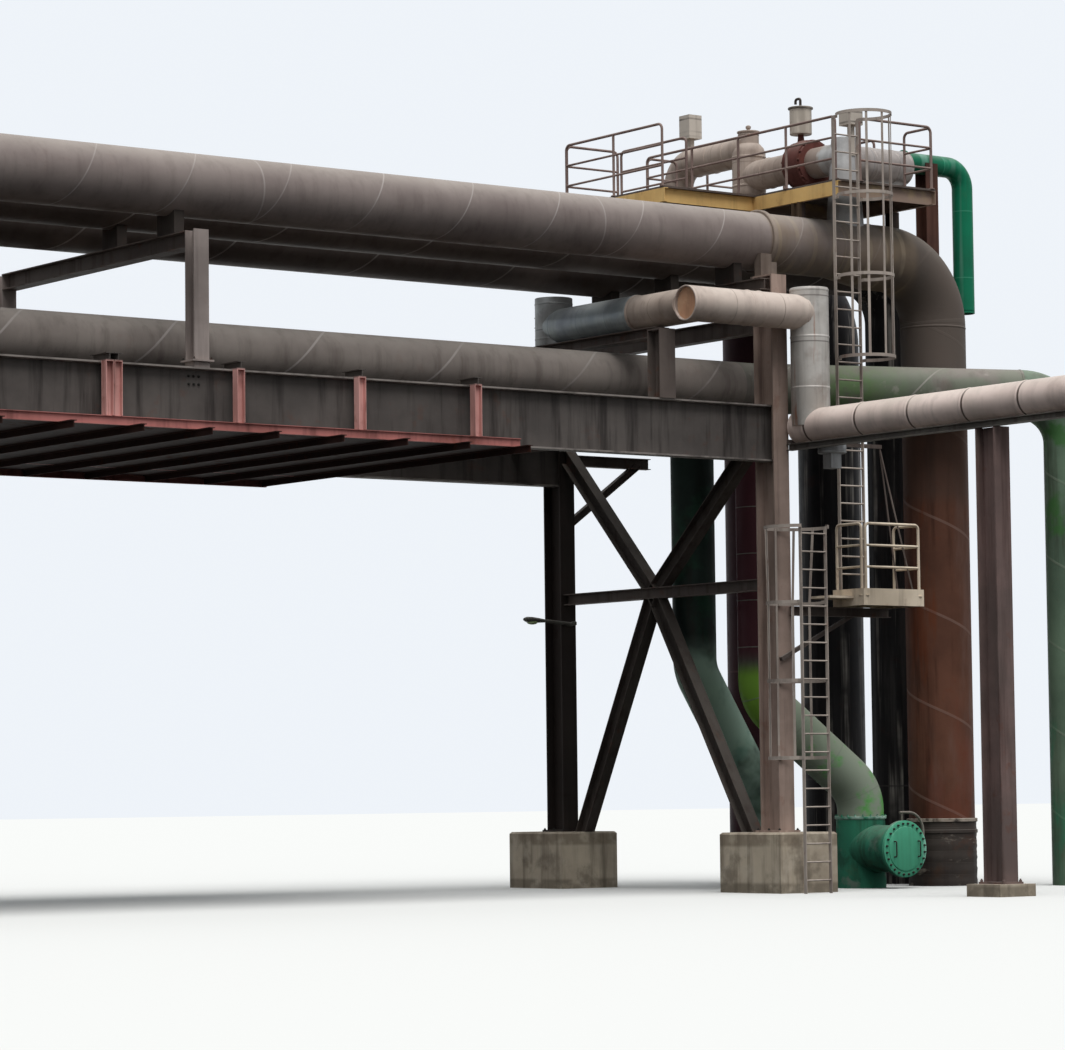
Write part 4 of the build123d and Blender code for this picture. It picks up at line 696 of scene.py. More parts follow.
# %% Near riser
red_marks = [helix(1.54, (138, 112, 102), share=0.02, lift=1.0),
             rings(9.7, (140, 118, 108), share=0.004, shift=0.795),
             patches((122, 100, 92), 1.3, (0.5, 0.72), amount=0.6, shift=3.0, drawn=0.2),
             patches((112, 58, 34), 3.0, (0.6, 0.72), amount=0.5, shift=8.0, drawn=0.12),
             patches((120, 66, 52), 1.2, (0.45, 0.6), amount=0.4, shift=5.0, drawn=0.3, under=3.0),
             patches((84, 68, 60), 0.9, (0.2, 0.45), amount=0.6, shift=19.0, drawn=0.3, over=6.2, under=8.4),
             patches((94, 87, 81), 0.9, (0.2, 0.42), amount=0.9, shift=17.0, drawn=0.4, over=8.1),
             within("x", 2.4, 3.05, (128, 112, 94), amount=0.8, soft=0.2, scale=0.6),
             within("x", 2.4, 3.0, (168, 152, 130), amount=0.4, soft=0.15, scale=1.2, pitch=0.37)]
red_paint = weathered("near_riser_paint", (108, 73, 59), (88, 60, 49), rust=0.2, streaks=0.6, dust_and_top_light=0.2,
                      rough=0.55, marks=red_marks, shine=0.04)
riser_route = [(REDUCER_X[1], NEAR_Y, WIDE_Z), (RISER_X, NEAR_Y, WIDE_Z), (RISER_X, NEAR_Y, 0)]
riser_weld = collars(riser_route[1], DOWN, [2 * RISER_R], RISER_R, width=0.04, height=0.006, around=96)
riser_shapes = [pipe(riser_route, RISER_R, bend=2 * RISER_R, around=96, steps=24), *riser_weld]
piece("near_riser_skin", riser_shapes, red_paint, "red_pipe", "near_riser")

# %% [markdown]
# Its foot stands in a wrapped sleeve with two bands. The wrap is tape wound on by hand, so its
# surface swells and sinks by a few millimetres: two sine waves of its height, added to its radius.

# %% Base sleeve
SLEEVE_HIGH, SLEEVE_R = 1.08, 0.551
wrap_marks = [rings(0.19, (74, 68, 62), share=0.05, lift=-1.5, strength=0.5),
              patches((150, 140, 128), 2.2, (0.55, 0.66), amount=0.7, shift=12.0, drawn=2.5),
              within("z", 1.03, 1.09, (176, 164, 150), amount=0.95, soft=0.01, scale=7.0),
              patches((86, 60, 44), 1.6, (0.55, 0.7), amount=0.5, shift=2.0)]
wrap_paint = weathered("wrap_paint", (60, 55, 52), (80, 73, 68), rust=0.15, streaks=0.3, dust_and_top_light=0.15,
                       rough=0.55, marks=wrap_marks)
wrap_z = np.linspace(0, SLEEVE_HIGH, 25)
swell = 0.004 * np.sin(wrap_z * 31.0) + 0.003 * np.sin(wrap_z * 73.0)
wrap = turned_body(np.column_stack([wrap_z, SLEEVE_R + swell]), riser_route[2], UP, around=96)
bands = [flange((RISER_X, NEAR_Y, low), UP, radius=SLEEVE_R + 0.018, thickness=0.06, chamfer=0.008, around=96)
         for low in (0.84, 1.02)]
piece("base_sleeve_wrap", [wrap, *bands], wrap_paint, "black_wrap", "base_sleeve")

# %% [markdown]
# Behind it lie the middle and the far upper pipe, which turn down in a row to two black risers; their
# black is painted shade from the pipes in front. A maroon riser branches off the far pipe. Pale
# washed-down dirt runs down all three.

# %% Back pipes and risers
BACK_Z, BACK_X = 10.13, 4.42
FAR_Y = 3.85
BACK_PIPES = ((2.25, 0.42), (FAR_Y, 0.53))
BRANCH_X, BRANCH_R = 2.76, 0.5
back_paint = weathered("back_pipe_paint", (110, 100, 95), (94, 85, 81), rust=0.05, streaks=0.2, dust_and_top_light=0.3,
                       rough=0.5, marks=[helix(2.6, PALE_SEAM, share=0.01)])
back_shapes = [shape for y, r in BACK_PIPES for shape in straight_skin(y, BACK_Z, r, BACK_X - 2 * r)]
piece("back_pipes_skin", back_shapes, back_paint, "taupe_pipe", "back_pipes")

# The risers' near-black colour is painted shade from the pipes in front; the pale runs on them are dirt.
shaded_black_paint = weathered("shaded_black_riser_paint", (40, 38, 39), (28, 27, 28), rust=0.05, streaks=0.3, dust_and_top_light=0.1,
                        rough=0.45, drip=(92, 88, 86),
                        marks=[runs((172, 166, 158), 7.0, (0.55, 0.7), amount=0.75),
                               rings(3.0, (70, 67, 66), share=0.006)])
risers = [pipe([(BACK_X - 2 * r, y, BACK_Z), (BACK_X, y, BACK_Z), (BACK_X, y, 0)], r, bend=2 * r - 0.001,
               around=80, steps=20) for y, r in BACK_PIPES]
piece("back_risers_skin", risers, shaded_black_paint, "dark_pipe", "back_risers")

maroon_marks = [runs((120, 100, 100), 5.0, (0.6, 0.75), amount=0.4), rings(3.3, (88, 60, 62), share=0.006)]
maroon_paint = weathered("maroon_riser_paint", (66, 40, 44), (50, 30, 35), rust=0.05, streaks=0.4, dust_and_top_light=0.1,
                         rough=0.5, marks=maroon_marks)
maroon = pipe([(BRANCH_X, FAR_Y, BACK_Z), (BRANCH_X, FAR_Y, 0)], BRANCH_R, around=80)
piece("branch_riser_skin", [maroon], maroon_paint, "maroon_pipe", "branch_riser")

# %% [markdown]
# The lower pipes lie between the girders. The first turns out of the bridge by 30 degrees, passes in
# front of the near riser, feeds a drop on its way and turns down as the green riser. The crossing
# hands over to the riser just before the elbow, with a weld bead at the joint.

# %% Lower pipe, its crossing and the green riser
LOWER_Y, LOWER_Z, LOWER_R = 1.45, 7.95, 0.40
LOWER_START, LOWER_TURN = (0.3, LOWER_Y, LOWER_Z), (0.7, LOWER_Y, LOWER_Z)
CROSSING, CROSSING_TURN, CROSSING_FALL = 5.16, math.radians(30), 0.12
LOWER_END = (LOWER_TURN[0] + CROSSING * math.cos(CROSSING_TURN),
             LOWER_Y - CROSSING * math.sin(CROSSING_TURN), LOWER_Z - CROSSING_FALL)
crossing_way = np.array(LOWER_END) - LOWER_TURN
hand_over = LOWER_TURN + crossing_way * (1 - 2 * LOWER_R / CROSSING)
lower_paint = weathered("lower_pipe_paint", (138, 129, 122), (120, 111, 105), rust=0.08, streaks=0.3,
                        dust_and_top_light=0.3, rough=0.5, marks=[helix(2.5, PALE_SEAM, share=0.012)])
piece("lower_pipe_skin", straight_skin(LOWER_Y, LOWER_Z, LOWER_R, LOWER_START[0]), lower_paint, "taupe_pipe",
      "lower_pipe")

crossing_marks = [within("x", 1.5, 2.5, (88, 124, 70), amount=0.62, soft=0.25, scale=2.6),
                  patches((104, 112, 96), 1.1, (0.45, 0.6), amount=0.7, shift=6.0),
                  patches((150, 144, 136), 2.3, (0.58, 0.68), amount=0.5, shift=2.0),
                  helix(2.4, (158, 152, 146), share=0.010)]
crossing_paint = weathered("crossing_paint", (122, 114, 108), (100, 98, 90), rust=0.05, streaks=0.35,
                           dust_and_top_light=0.25, rough=0.5, marks=crossing_marks)
crossing = [pipe([LOWER_START, LOWER_TURN, tuple(hand_over)], LOWER_R, bend=LOWER_R, around=80, steps=12,
                 spacing=0.5),
            *collars(hand_over, unit(crossing_way), [-0.02], LOWER_R, width=0.05, height=0.008, around=80)]
piece("lower_crossing_skin", crossing, crossing_paint, "taupe_pipe", "lower_crossing")

green_marks = [helix(1.35, (140, 150, 132), share=0.02, lift=1.2),
               patches((70, 118, 62), 1.3, (0.5, 0.62), amount=0.8, shift=9.0, over=5.5),
               patches((70, 142, 108), 1.6, (0.46, 0.62), amount=0.8, shift=3.0, drawn=0.4, under=2.6),
               runs((150, 150, 140), 5.0, (0.6, 0.75), amount=0.4)]
green_paint = weathered("green_riser_paint", (116, 138, 116), (94, 114, 96), rust=0.1, streaks=0.45, dust_and_top_light=0.2,
                        rough=0.5, marks=green_marks)
green_route = [tuple(hand_over), LOWER_END, (*LOWER_END[:2], 0)]
piece("green_riser_skin", [pipe(green_route, LOWER_R, bend=2 * LOWER_R - 0.02, around=80, steps=20)],
      green_paint, "green_pipe", "green_riser")

# %% [markdown]
# The second lower pipe drops behind the near column and swings sideways. The drop from the crossing
# swings over in two long mitres to stand on its tee, maroon above and patched green below.

# %% Second pipe and its drop
SECOND_Y, SECOND_Z, SECOND_R = 2.75, 7.9, 0.35
SECOND_END, SECOND_X, SECOND_FOOT_X = -0.17, 0.53, 1.98
second_paint = weathered("second_pipe_paint", (62, 60, 58), (48, 46, 46), rust=0.1, streaks=0.4, dust_and_top_light=0.2,
                         rough=0.5, marks=[helix(2.2, (96, 92, 90), share=0.012)])
piece("second_pipe_skin", straight_skin(SECOND_Y, SECOND_Z, SECOND_R, SECOND_END), second_paint, "dark_pipe",
      "second_pipe")

second_drop_marks = [patches((40, 72, 54), 1.2, (0.48, 0.62), amount=0.6, shift=1.0),
                     patches((84, 128, 112), 1.5, (0.5, 0.62), amount=0.8, shift=5.0, drawn=0.5, under=2.6),
                     within("z", 0.0, 3.5, (166, 192, 174), amount=0.85, soft=0.6, scale=0.8)]
second_drop_paint = weathered("second_drop_paint", (44, 56, 50), (34, 42, 39), rust=0.05, streaks=0.4,
                              dust_and_top_light=0.1, rough=0.5, marks=second_drop_marks)
second_path = ((SECOND_END, SECOND_Z), (SECOND_X, SECOND_Z), (SECOND_X, 3.5), (SECOND_FOOT_X, 1.2),
               (SECOND_FOOT_X, 0))
second_route = [(x, SECOND_Y, z) for x, z in second_path]
piece("second_drop_skin", [pipe(second_route, SECOND_R, bend=0.695, around=72)], second_drop_paint,
      "green_pipe", "second_drop")

# %% [markdown]
# The drop's colours change with its height and with its sideways swing, so its marks read the place
# and not the length along it.

# %% The drop from the crossing
TEE_X, TEE_Y, TEE_TOP = 2.295, 0.8, 1.13
DROP_X, DROP_Y, DROP_R = 0.79, 1.398, 0.37
drop_marks = [patches((122, 166, 60), 1.1, (0.2, 0.4), amount=0.95, shift=7.0, over=2.1, under=3.5),
              beyond("x", 0.95, (146, 156, 138), soft=0.12, amount=0.95),
              patches((92, 170, 80), 1.3, (0.5, 0.6), amount=0.85, shift=7.0, under=2.5),
              patches((150, 156, 146), 2.6, (0.6, 0.7), amount=0.6, shift=3.0, under=3.0),
              beyond("z", 3.55, (70, 40, 45), soft=0.25),
              rings(0.74, (132, 138, 126), share=0.015, shift=0.42, strength=0.5)]
drop_paint = weathered("drop_paint", (106, 120, 104), (84, 96, 84), rust=0.08, streaks=0.45, dust_and_top_light=0.15,
                       rough=0.5, marks=drop_marks)
drop_route = [(DROP_X, DROP_Y, LOWER_Z), (DROP_X, DROP_Y, 3.0), (TEE_X, TEE_Y, 1.54), (TEE_X, TEE_Y, TEE_TOP)]
piece("drop_pipe_skin", [pipe(drop_route, DROP_R, bend=0.70, around=80, steps=10)], drop_paint, "maroon_pipe",
      "drop_pipe")

# %% [markdown]
# The tee has an upright body with a collar on top and a branch towards the viewer, closed by a
# blind cover on a ring of bolts. A curved davit arm beside the flange carries the cover when its
# bolts are out.

# %% Tee and davit
TEE_R, COVER_R = 0.39, 0.445
OUTLET_Z, OUTLET_R, OUTLET_Y = 0.62, 0.37, -0.15
COLLAR_THICK, COVER_THICK = 0.04, 0.05
DAVIT_Y, DAVIT_TOP, DAVIT_FOOT = -0.175, 1.19, 0.45
davit_x = TEE_X + COVER_R
tee_paint = weathered("tee_paint", (62, 140, 110), (50, 112, 90), rust=0.12, streaks=0.45, dust_and_top_light=0.15,
                      rough=0.5,
                      marks=[patches((132, 138, 130), 1.8, (0.54, 0.66), amount=0.6, shift=4.0),
                             patches((40, 44, 42), 1.4, (0.52, 0.66), amount=0.5, shift=13.0),
                             within("z", 1.085, 1.14, (176, 204, 190), amount=0.85, soft=0.01, scale=5.0)])
collar_bolts = ring_places((TEE_X, TEE_Y, TEE_TOP - 0.002), UP, radius=0.398, count=20)
tee_shapes = [turned_body([(0, TEE_R), (TEE_TOP - COLLAR_THICK, TEE_R)], (TEE_X, TEE_Y, 0), UP, around=80),
              flange((TEE_X, TEE_Y, TEE_TOP - COLLAR_THICK), UP, radius=0.41, thickness=COLLAR_THICK,
                     chamfer=0.008, around=80),
              turned_body([(0, OUTLET_R), (0.95, OUTLET_R)], (TEE_X, TEE_Y, OUTLET_Z), NEARER, around=80),
              *collars((TEE_X, 0.395, OUTLET_Z), NEARER, [0], 0.372, width=0.03, height=0.008),
              flange((TEE_X, OUTLET_Y, OUTLET_Z), NEARER, radius=COVER_R, thickness=COVER_THICK,
                     chamfer=0.006, around=80),
              bolts(collar_bolts, UP, size=0.018, height=0.02)]
piece("tee_skin", tee_shapes, tee_paint, "green_pipe", "tee_piece")

davit_paint = weathered("davit_paint", (150, 144, 134), (112, 106, 98), rust=0.4, streaks=0.3, dust_and_top_light=0.2)
arm_path = ((davit_x, DAVIT_FOOT), (davit_x, DAVIT_TOP), (TEE_X - 0.044, DAVIT_TOP))
davit = [pipe([(x, DAVIT_Y, z) for x, z in arm_path], 0.021, bend=0.30, around=16, steps=16),
         pipe([(TEE_X, DAVIT_Y, z) for z in (1.04, DAVIT_TOP)], 0.014, around=12),
         block((davit_x - 0.03, DAVIT_Y - 0.025, 0.46), (davit_x + 0.02, DAVIT_Y + 0.025, 0.52))]
piece("davit_arm", davit, davit_paint, "green_pipe")

# %% [markdown]
# The cover is a plate with a rounded edge and a shallow dish, turned as one profile. Its bolts and
# its two bent handles are one dark piece.

# %% Blind cover
COVER_Y = OUTLET_Y - COVER_THICK
BOLT_RING, BOLTS_ROUND = 0.398, 24
HANDLE_SIDE, HANDLE_HALF, HANDLE_R = 0.25, 0.12, 0.011
cover_marks = [patches((158, 214, 190), 5.0, (0.48, 0.62), amount=0.75, shift=4.0, drawn=0.05),
               patches((58, 122, 96), 4.0, (0.55, 0.7), amount=0.6, shift=9.0, drawn=0.05)]
cover_paint = weathered("cover_paint", (92, 182, 146), (80, 164, 130), rust=0.05, streaks=0.2, dust_and_top_light=0.1,
                        rough=0.4, marks=cover_marks)
cover_edge = [(0, COVER_R - 0.004), (0.004, COVER_R), (0.046, COVER_R), (COVER_THICK, COVER_R - 0.006)]
cover_dish = [(0.051, 0.352), (0.062, 0.345), (0.068, 0.32)]
cover = turned_body(cover_edge + cover_dish, (TEE_X, COVER_Y, OUTLET_Z), NEARER, around=80)
piece("cover_plate", [cover], cover_paint, "teal_cover", "blind_cover")

bolt_paint = weathered("bolt_paint", (44, 46, 44), (62, 58, 54), rust=0.4, streaks=0.2, dust_and_top_light=0.1, rough=0.6)
bolt_ring = ring_places((TEE_X, COVER_Y - COVER_THICK + 0.001, OUTLET_Z), AWAY, radius=BOLT_RING,
                        count=BOLTS_ROUND, phase=0.13)
handle_path = ((-0.262, -HANDLE_HALF), (-0.324, -HANDLE_HALF), (-0.324, HANDLE_HALF), (-0.262, HANDLE_HALF))
handles = [pipe([(TEE_X + side, y, OUTLET_Z + z) for y, z in handle_path], HANDLE_R, bend=2 * HANDLE_R,
                around=12, steps=6) for side in (-HANDLE_SIDE, HANDLE_SIDE)]
piece("cover_bolts", [bolts(bolt_ring, NEARER, size=0.019, height=0.022), *handles], bolt_paint, "teal_cover")

# %% [markdown]
# Insulated pipework passes in front of the near column. Its jacket is painted sheet in short
# lengths, each lapped over the next with a band. The run's left end is open: a rim of sheet, and a
# stained board set back in it. A branch leads away from the run to a clad pipe and an upright drum,
# and its first row of points lies in the run's own surface, so that nothing shows in the open end.

# %% Insulated run and its open end
LAG_Y, LAG_Z, LAG_R = -0.56, 8.905, 0.27
OUT_X, OUT_Z, OUT_R = 0.225, 7.155, 0.262
OPEN_X, OPEN_DEPTH = -2.24, 0.05
BRANCH_LINE_X, CLAD_START, CLAD_END = -2.0, 0.87, 3.05
SHEET_SEAM = (136, 122, 112)
pale_patches = patches((208, 194, 182), 1.4, (0.5, 0.66), amount=0.5, shift=6.0)
lag_paint = weathered("lagging_paint", (218, 202, 191), (190, 174, 163), rust=0.04, streaks=0.25, dust_and_top_light=0.3,
                      rough=0.42,
                      marks=[rings(0.95, SHEET_SEAM, share=0.012, shift=0.2), lap(0.86, SHEET_SEAM),
                             pale_patches], shine=0.03)
lag_line = [(x, LAG_Y, LAG_Z) for x in (OPEN_X + OPEN_DEPTH, OUT_X)]
lag_shapes = [pipe(lag_line, LAG_R, around=80, spacing=0.5),
              *collars((0, LAG_Y, LAG_Z), RIGHT, (-1.08, -0.85, 0.0), LAG_R, width=0.06, height=0.01,
                       around=80)]
piece("lagged_run_skin", lag_shapes, lag_paint, "lagging", "lagged_run")

branch_paint = weathered("back_branch_paint", (184, 168, 156), (154, 139, 128), rust=0.06, streaks=0.35,
                         dust_and_top_light=0.25, rough=0.45, marks=[rings(0.95, SHEET_SEAM, share=0.012, shift=0.2)],
                         shine=0.03)
branch_places = np.array([(BRANCH_LINE_X, y, LAG_Z) for y in (LAG_Y, CLAD_START)])
branch_rows = carried(circle(around=80), branch_places, np.tile(AWAY, (2, 1)), LAG_R)
rise = branch_rows[0, :, 2] - LAG_Z
branch_rows[0, :, 1] += 0.97 * np.sqrt(np.maximum(LAG_R ** 2 - rise ** 2, 0))
branch_shapes = [closed(branch_rows, [0, CLAD_START - LAG_Y]),
                 *collars((BRANCH_LINE_X, 0, LAG_Z), AWAY, [0.84], LAG_R + 0.01, width=0.04, height=0.012,
                          around=80)]
piece("back_branch_skin", branch_shapes, branch_paint, "lagging", "back_branch")

rim = cup((OPEN_X, LAG_Y, LAG_Z), RIGHT, outer=LAG_R, inner=LAG_R - 0.022, depth=OPEN_DEPTH + 0.01)
piece("open_end_rim", [rim], lag_paint, "lagging")
board_paint = weathered("open_end_paint", (222, 178, 148), (196, 150, 120), rust=0.3, streaks=0.3, dust_and_top_light=0.0,
                        rough=0.8,
                        marks=[patches((208, 170, 138), 2.2, (0.5, 0.66), amount=0.8, shift=3.0),
                               patches((92, 40, 26), 5.0, (0.66, 0.72), amount=0.9, shift=8.0)])
board = turned_body([(0, 0.243), (0.006, 0.247)], (OPEN_X + OPEN_DEPTH - 0.002, LAG_Y, LAG_Z), RIGHT)
piece("open_end_board", [board], board_paint, "lagging")

# %% [markdown]
# The branch goes on in bright sheet to a drum of galvanised plate, which stands upright on the
# pipe's line with two bands round it.

# %% Clad branch and drum
CLAD_R, DRUM_R = 0.29, 0.30
clad_paint = weathered("clad_branch_paint", (164, 170, 170), (134, 141, 142), rust=0.03, streaks=0.25,
                       dust_and_top_light=0.15, rough=0.35, metal=0.3,
                       marks=[rings(0.73, (110, 116, 124), share=0.012, lift=1.0, shift=0.3),
                              lap(0.55, (206, 210, 214)),
                              patches((112, 118, 128), 1.2, (0.5, 0.7), amount=0.6, shift=4.0)])
clad_line = [(BRANCH_LINE_X, y, LAG_Z) for y in (CLAD_START, CLAD_END)]
clad_shapes = [pipe(clad_line, CLAD_R, around=80),
               *collars(clad_line[0], AWAY, [-0.01], CLAD_R - 0.005, width=0.05, height=0.012, around=80)]
piece("clad_branch_skin", clad_shapes, clad_paint, "cladding", "clad_branch")

zinc_paint = weathered("zinc_paint", (150, 150, 148), (122, 122, 122), rust=0.1, streaks=0.3, dust_and_top_light=0.1,
                       rough=0.42, metal=0.3,
                       marks=[patches((172, 174, 174), 2.4, (0.48, 0.62), amount=0.6, shift=2.0),
                              rings(0.42, (104, 106, 108), share=0.03, lift=1.0, shift=0.4),
                              lap(0.4, (110, 112, 114))])
drum_foot = (BRANCH_LINE_X, CLAD_END, LAG_Z - CLAD_R)
drum_profile = [(0, DRUM_R - 0.004), (0.01, DRUM_R), (0.755, DRUM_R), (0.765, DRUM_R - 0.006)]
drum_shapes = [turned_body(drum_profile, drum_foot, UP, around=72),
               *collars((BRANCH_LINE_X, CLAD_END, 0), UP, (8.70, 9.26), DRUM_R - 0.003, width=0.05,
                        height=0.008)]
piece("drum_skin", drum_shapes, zinc_paint, "galvanised", "drum")

# %% [markdown]
# A grey riser with three bands joins the two levels of the insulated pipework. The outrun leaves its
# foot towards the viewer; its dark joints and its bands keep to one pitch, with each band set a
# little beside its joint so that both are seen.

# %% Grey riser and outrun
OUT_PITCH, OUT_SHIFT, OUT_JOINTS, BAND_BESIDE = 1.18, 0.68, 5, 0.08
OUT_END = -6.5
grey_paint = weathered("grey_riser_paint", (210, 206, 200), (182, 176, 169), rust=0.15, streaks=0.35,
                       dust_and_top_light=0.2, rough=0.45, metal=0.2,
                       marks=[patches((150, 84, 44), 4.0, (0.56, 0.66), amount=0.85, shift=14.0, drawn=0.1),
                              rings(0.71, (110, 104, 100), share=0.02, lift=1.0, shift=0.18),
                              patches((210, 206, 200), 2.0, (0.5, 0.64), amount=0.5, shift=5.0)])
grey_profile = [(0, 0.296), (0.006, 0.30), (2.125, 0.30), (2.135, 0.292)]
grey_shapes = [turned_body(grey_profile, (OUT_X, LAG_Y, OUT_Z), UP, around=80),
               *collars((OUT_X, LAG_Y, 0), UP, (7.715, 8.505, 9.23), 0.30, width=0.045, height=0.006,
                        around=80)]
piece("grey_riser_skin", grey_shapes, grey_paint, "galvanised", "grey_riser")

# Its large dust share mostly paints the light that falls on the outrun's top.
out_paint = weathered("outrun_paint", (242, 222, 212), (214, 194, 184), rust=0.04, streaks=0.2, dust_and_top_light=0.5,
                      rough=0.42,
                      marks=[rings(OUT_PITCH, (70, 56, 50), share=0.022, lift=1.4, shift=OUT_SHIFT,
                                   strength=0.9), pale_patches], shine=0.03)
out_start = (OUT_X, LAG_Y + OUT_R, OUT_Z)
out_bands = OUT_PITCH * (np.arange(1, OUT_JOINTS + 1) - OUT_SHIFT) - BAND_BESIDE
out_shapes = [pipe([out_start, (OUT_X, OUT_END, OUT_Z)], OUT_R, around=80, spacing=0.6),
              *collars(out_start, NEARER, out_bands, OUT_R, width=0.05, height=0.006, around=80)]
piece("outrun_skin", out_shapes, out_paint, "lagging", "outrun")

# %% [markdown]
# Under the outrun hangs a small drip can of galvanised sheet, with a square box below it.

# %% Drip can
CAN_X, CAN_Y, CAN_LOW, CAN_R = 0.39, -0.85, 6.713, 0.22
BOX_HALF, BOX_LOW, STUB_Z = 0.105, CAN_LOW - 0.23, CAN_LOW - 0.16
can_middle = (CAN_X, CAN_Y, CAN_LOW)
can_shapes = [turned_body([(0, 0.212), (0.008, CAN_R), (0.21, CAN_R)], can_middle, UP),
              *collars(can_middle, UP, [0.02], 0.217, width=0.03, height=0.006),
              *collars(can_middle, UP, [0.12], 0.217, width=0.02, height=0.004),
              block((CAN_X - BOX_HALF, CAN_Y - BOX_HALF, BOX_LOW),
                    (CAN_X + BOX_HALF, CAN_Y + BOX_HALF, CAN_LOW + 0.005), chamfer=0.012),
              pipe([(CAN_X, CAN_Y, STUB_Z), (CAN_X, CAN_Y - 0.108, STUB_Z)], 0.03, around=20)]
piece("drip_can_skin", can_shapes, zinc_paint, "galvanised", "drip_can")

# %% [markdown]
# On the gallery a cone rises from the near pipe and joins a cast valve; an insulated pipe leads on
# from it and turns down to the far pipe. A silver pipe runs from the cone to the green vent.

# %% Cone and silver pipe
TRAIN_X, TRAIN_Z, TRAIN_R = 2.1, 11.68, 0.25
SILVER_Y, SILVER_Z, SILVER_R, SILVER_END = 0.76, 11.62, 0.28, 3.42
BALL_Y, BALL_R, BALL_HALF = 1.6, 0.41, 0.21
cone_paint = weathered("cone_paint", (168, 166, 164), (142, 140, 138), rust=0.08, streaks=0.3, dust_and_top_light=0.15,
                       rough=0.4, metal=0.2,
                       marks=[beyond("y", 1.04, (146, 130, 119), soft=0.02, amount=0.9),
                              patches((190, 190, 188), 1.8, (0.5, 0.66), amount=0.6, shift=3.0),
                              runs((110, 92, 78), 5.0, (0.58, 0.7), amount=0.6)])
cone_shapes = [turned_body([(0, 0.33), (1.80, 0.203), (1.82, 0.195)], (TRAIN_X, NEAR_Y, NEAR_Z), UP,
                           around=72),
               pipe([(TRAIN_X, NEAR_Y, TRAIN_Z), (TRAIN_X, BALL_Y - BALL_HALF, TRAIN_Z)], TRAIN_R, around=72),
               *collars((TRAIN_X, 0, TRAIN_Z), AWAY, [1.06], TRAIN_R, width=0.05, height=0.007),
               *collars((TRAIN_X, NEAR_Y, 0), UP, [11.2], 0.256, width=0.05, height=0.008)]
piece("branch_cone_skin", cone_shapes, cone_paint, "cladding", "branch_cone")

silver_paint = weathered("silver_pipe_paint", (176, 168, 163), (150, 142, 138), rust=0.04, streaks=0.25,
                         dust_and_top_light=0.15, rough=0.36, metal=0.2,
                         marks=[rings(0.62, (120, 124, 128), share=0.012, shift=0.25),
                                lap(0.7, (120, 122, 126))])
silver_shapes = [pipe([(TRAIN_X, SILVER_Y, SILVER_Z), (SILVER_END, SILVER_Y, SILVER_Z)], SILVER_R, around=72),
                 *collars((0, SILVER_Y, SILVER_Z), RIGHT, (2.62, 3.1, 3.36), SILVER_R, width=0.05,
                          height=0.006)]
piece("silver_pipe", silver_shapes, silver_paint, "cladding")

# %% [markdown]
# The valve's body is a ball cut off at two flanges: its radius at a distance y from the middle is
# the root of the ball's radius squared less y squared. A small canister stands on its bonnet.

# %% Valve and canister
FLANGE_BOLTS, FLANGE_THICK, FLANGE_Y = 16, 0.045, (1.412, 1.743)
CANISTER_Y, CANISTER_LOW, CANISTER_HIGH = 1.75, 12.2, 12.62
CANISTER_SEAM = (56, 50, 46)
cast_paint = weathered("valve_paint", (102, 62, 56), (76, 51, 48), rust=0.45, streaks=0.4, dust_and_top_light=0.15,
                       rough=0.7)
ball_y = np.linspace(-BALL_HALF, BALL_HALF, 17)
ball_profile = np.column_stack([ball_y + BALL_HALF, np.sqrt(BALL_R ** 2 - ball_y ** 2)])
near_bolts = ring_places((TRAIN_X, FLANGE_Y[0], TRAIN_Z), AWAY, radius=0.368, count=FLANGE_BOLTS, phase=0.1)
across_valve = FLANGE_Y[1] + FLANGE_THICK - FLANGE_Y[0]
bonnet = [(0, 0.07), (0.04, 0.06), (0.18, 0.045)]
valve_shapes = [turned_body(ball_profile, (TRAIN_X, BALL_Y - BALL_HALF, TRAIN_Z), AWAY, around=72),
                *[flange((TRAIN_X, y, TRAIN_Z), AWAY, radius=0.395, thickness=FLANGE_THICK, around=72)
                  for y in FLANGE_Y],
                bolts(near_bolts, NEARER, size=0.018, height=0.02),
                bolts(near_bolts + [0, across_valve, 0], AWAY, size=0.018, height=0.02),
                turned_body(bonnet, (TRAIN_X, CANISTER_Y, TRAIN_Z + 0.35), UP, around=32)]
piece("valve_skin", valve_shapes, cast_paint, "rust_cast", "valve")

canister_marks = [within("z", 12.19, 12.23, CANISTER_SEAM, amount=0.9, soft=0.005, scale=0.6),
                  within("z", 12.615, 12.645, CANISTER_SEAM, amount=0.9, soft=0.005, scale=0.6),
                  beyond("z", 12.675, (62, 56, 52))]
canister_paint = weathered("canister_paint", (198, 187, 173), (160, 150, 138), rust=0.2, streaks=0.3,
                           dust_and_top_light=0.2, rough=0.5, metal=0.2, marks=canister_marks)
canister_lid = [(0, 0.205), (0.022, 0.205), (0.03, 0.196), (0.055, 0.06)]
SPOUT_Y = CANISTER_Y + 0.12
spout_path = ((CANISTER_Y, 12.65), (CANISTER_Y, 12.80), (SPOUT_Y, 12.80), (SPOUT_Y, 12.72))
canister_shapes = [turned_body([(0, 0.172), (0.008, 0.18), (0.42, 0.18)],
                               (TRAIN_X, CANISTER_Y, CANISTER_LOW), UP),
                   turned_body(canister_lid, (TRAIN_X, CANISTER_Y, CANISTER_HIGH), UP),
                   pipe([(TRAIN_X, y, z) for y, z in spout_path], 0.022, bend=0.04, around=20, steps=8)]
piece("canister_skin", canister_shapes, canister_paint, "rust_cast")

# %% [markdown]
# Behind the valve the pipe stays insulated: it enters a vessel with a bulged foot and a pot with a
# knob on top, leaves it higher up, and turns down into the far pipe.

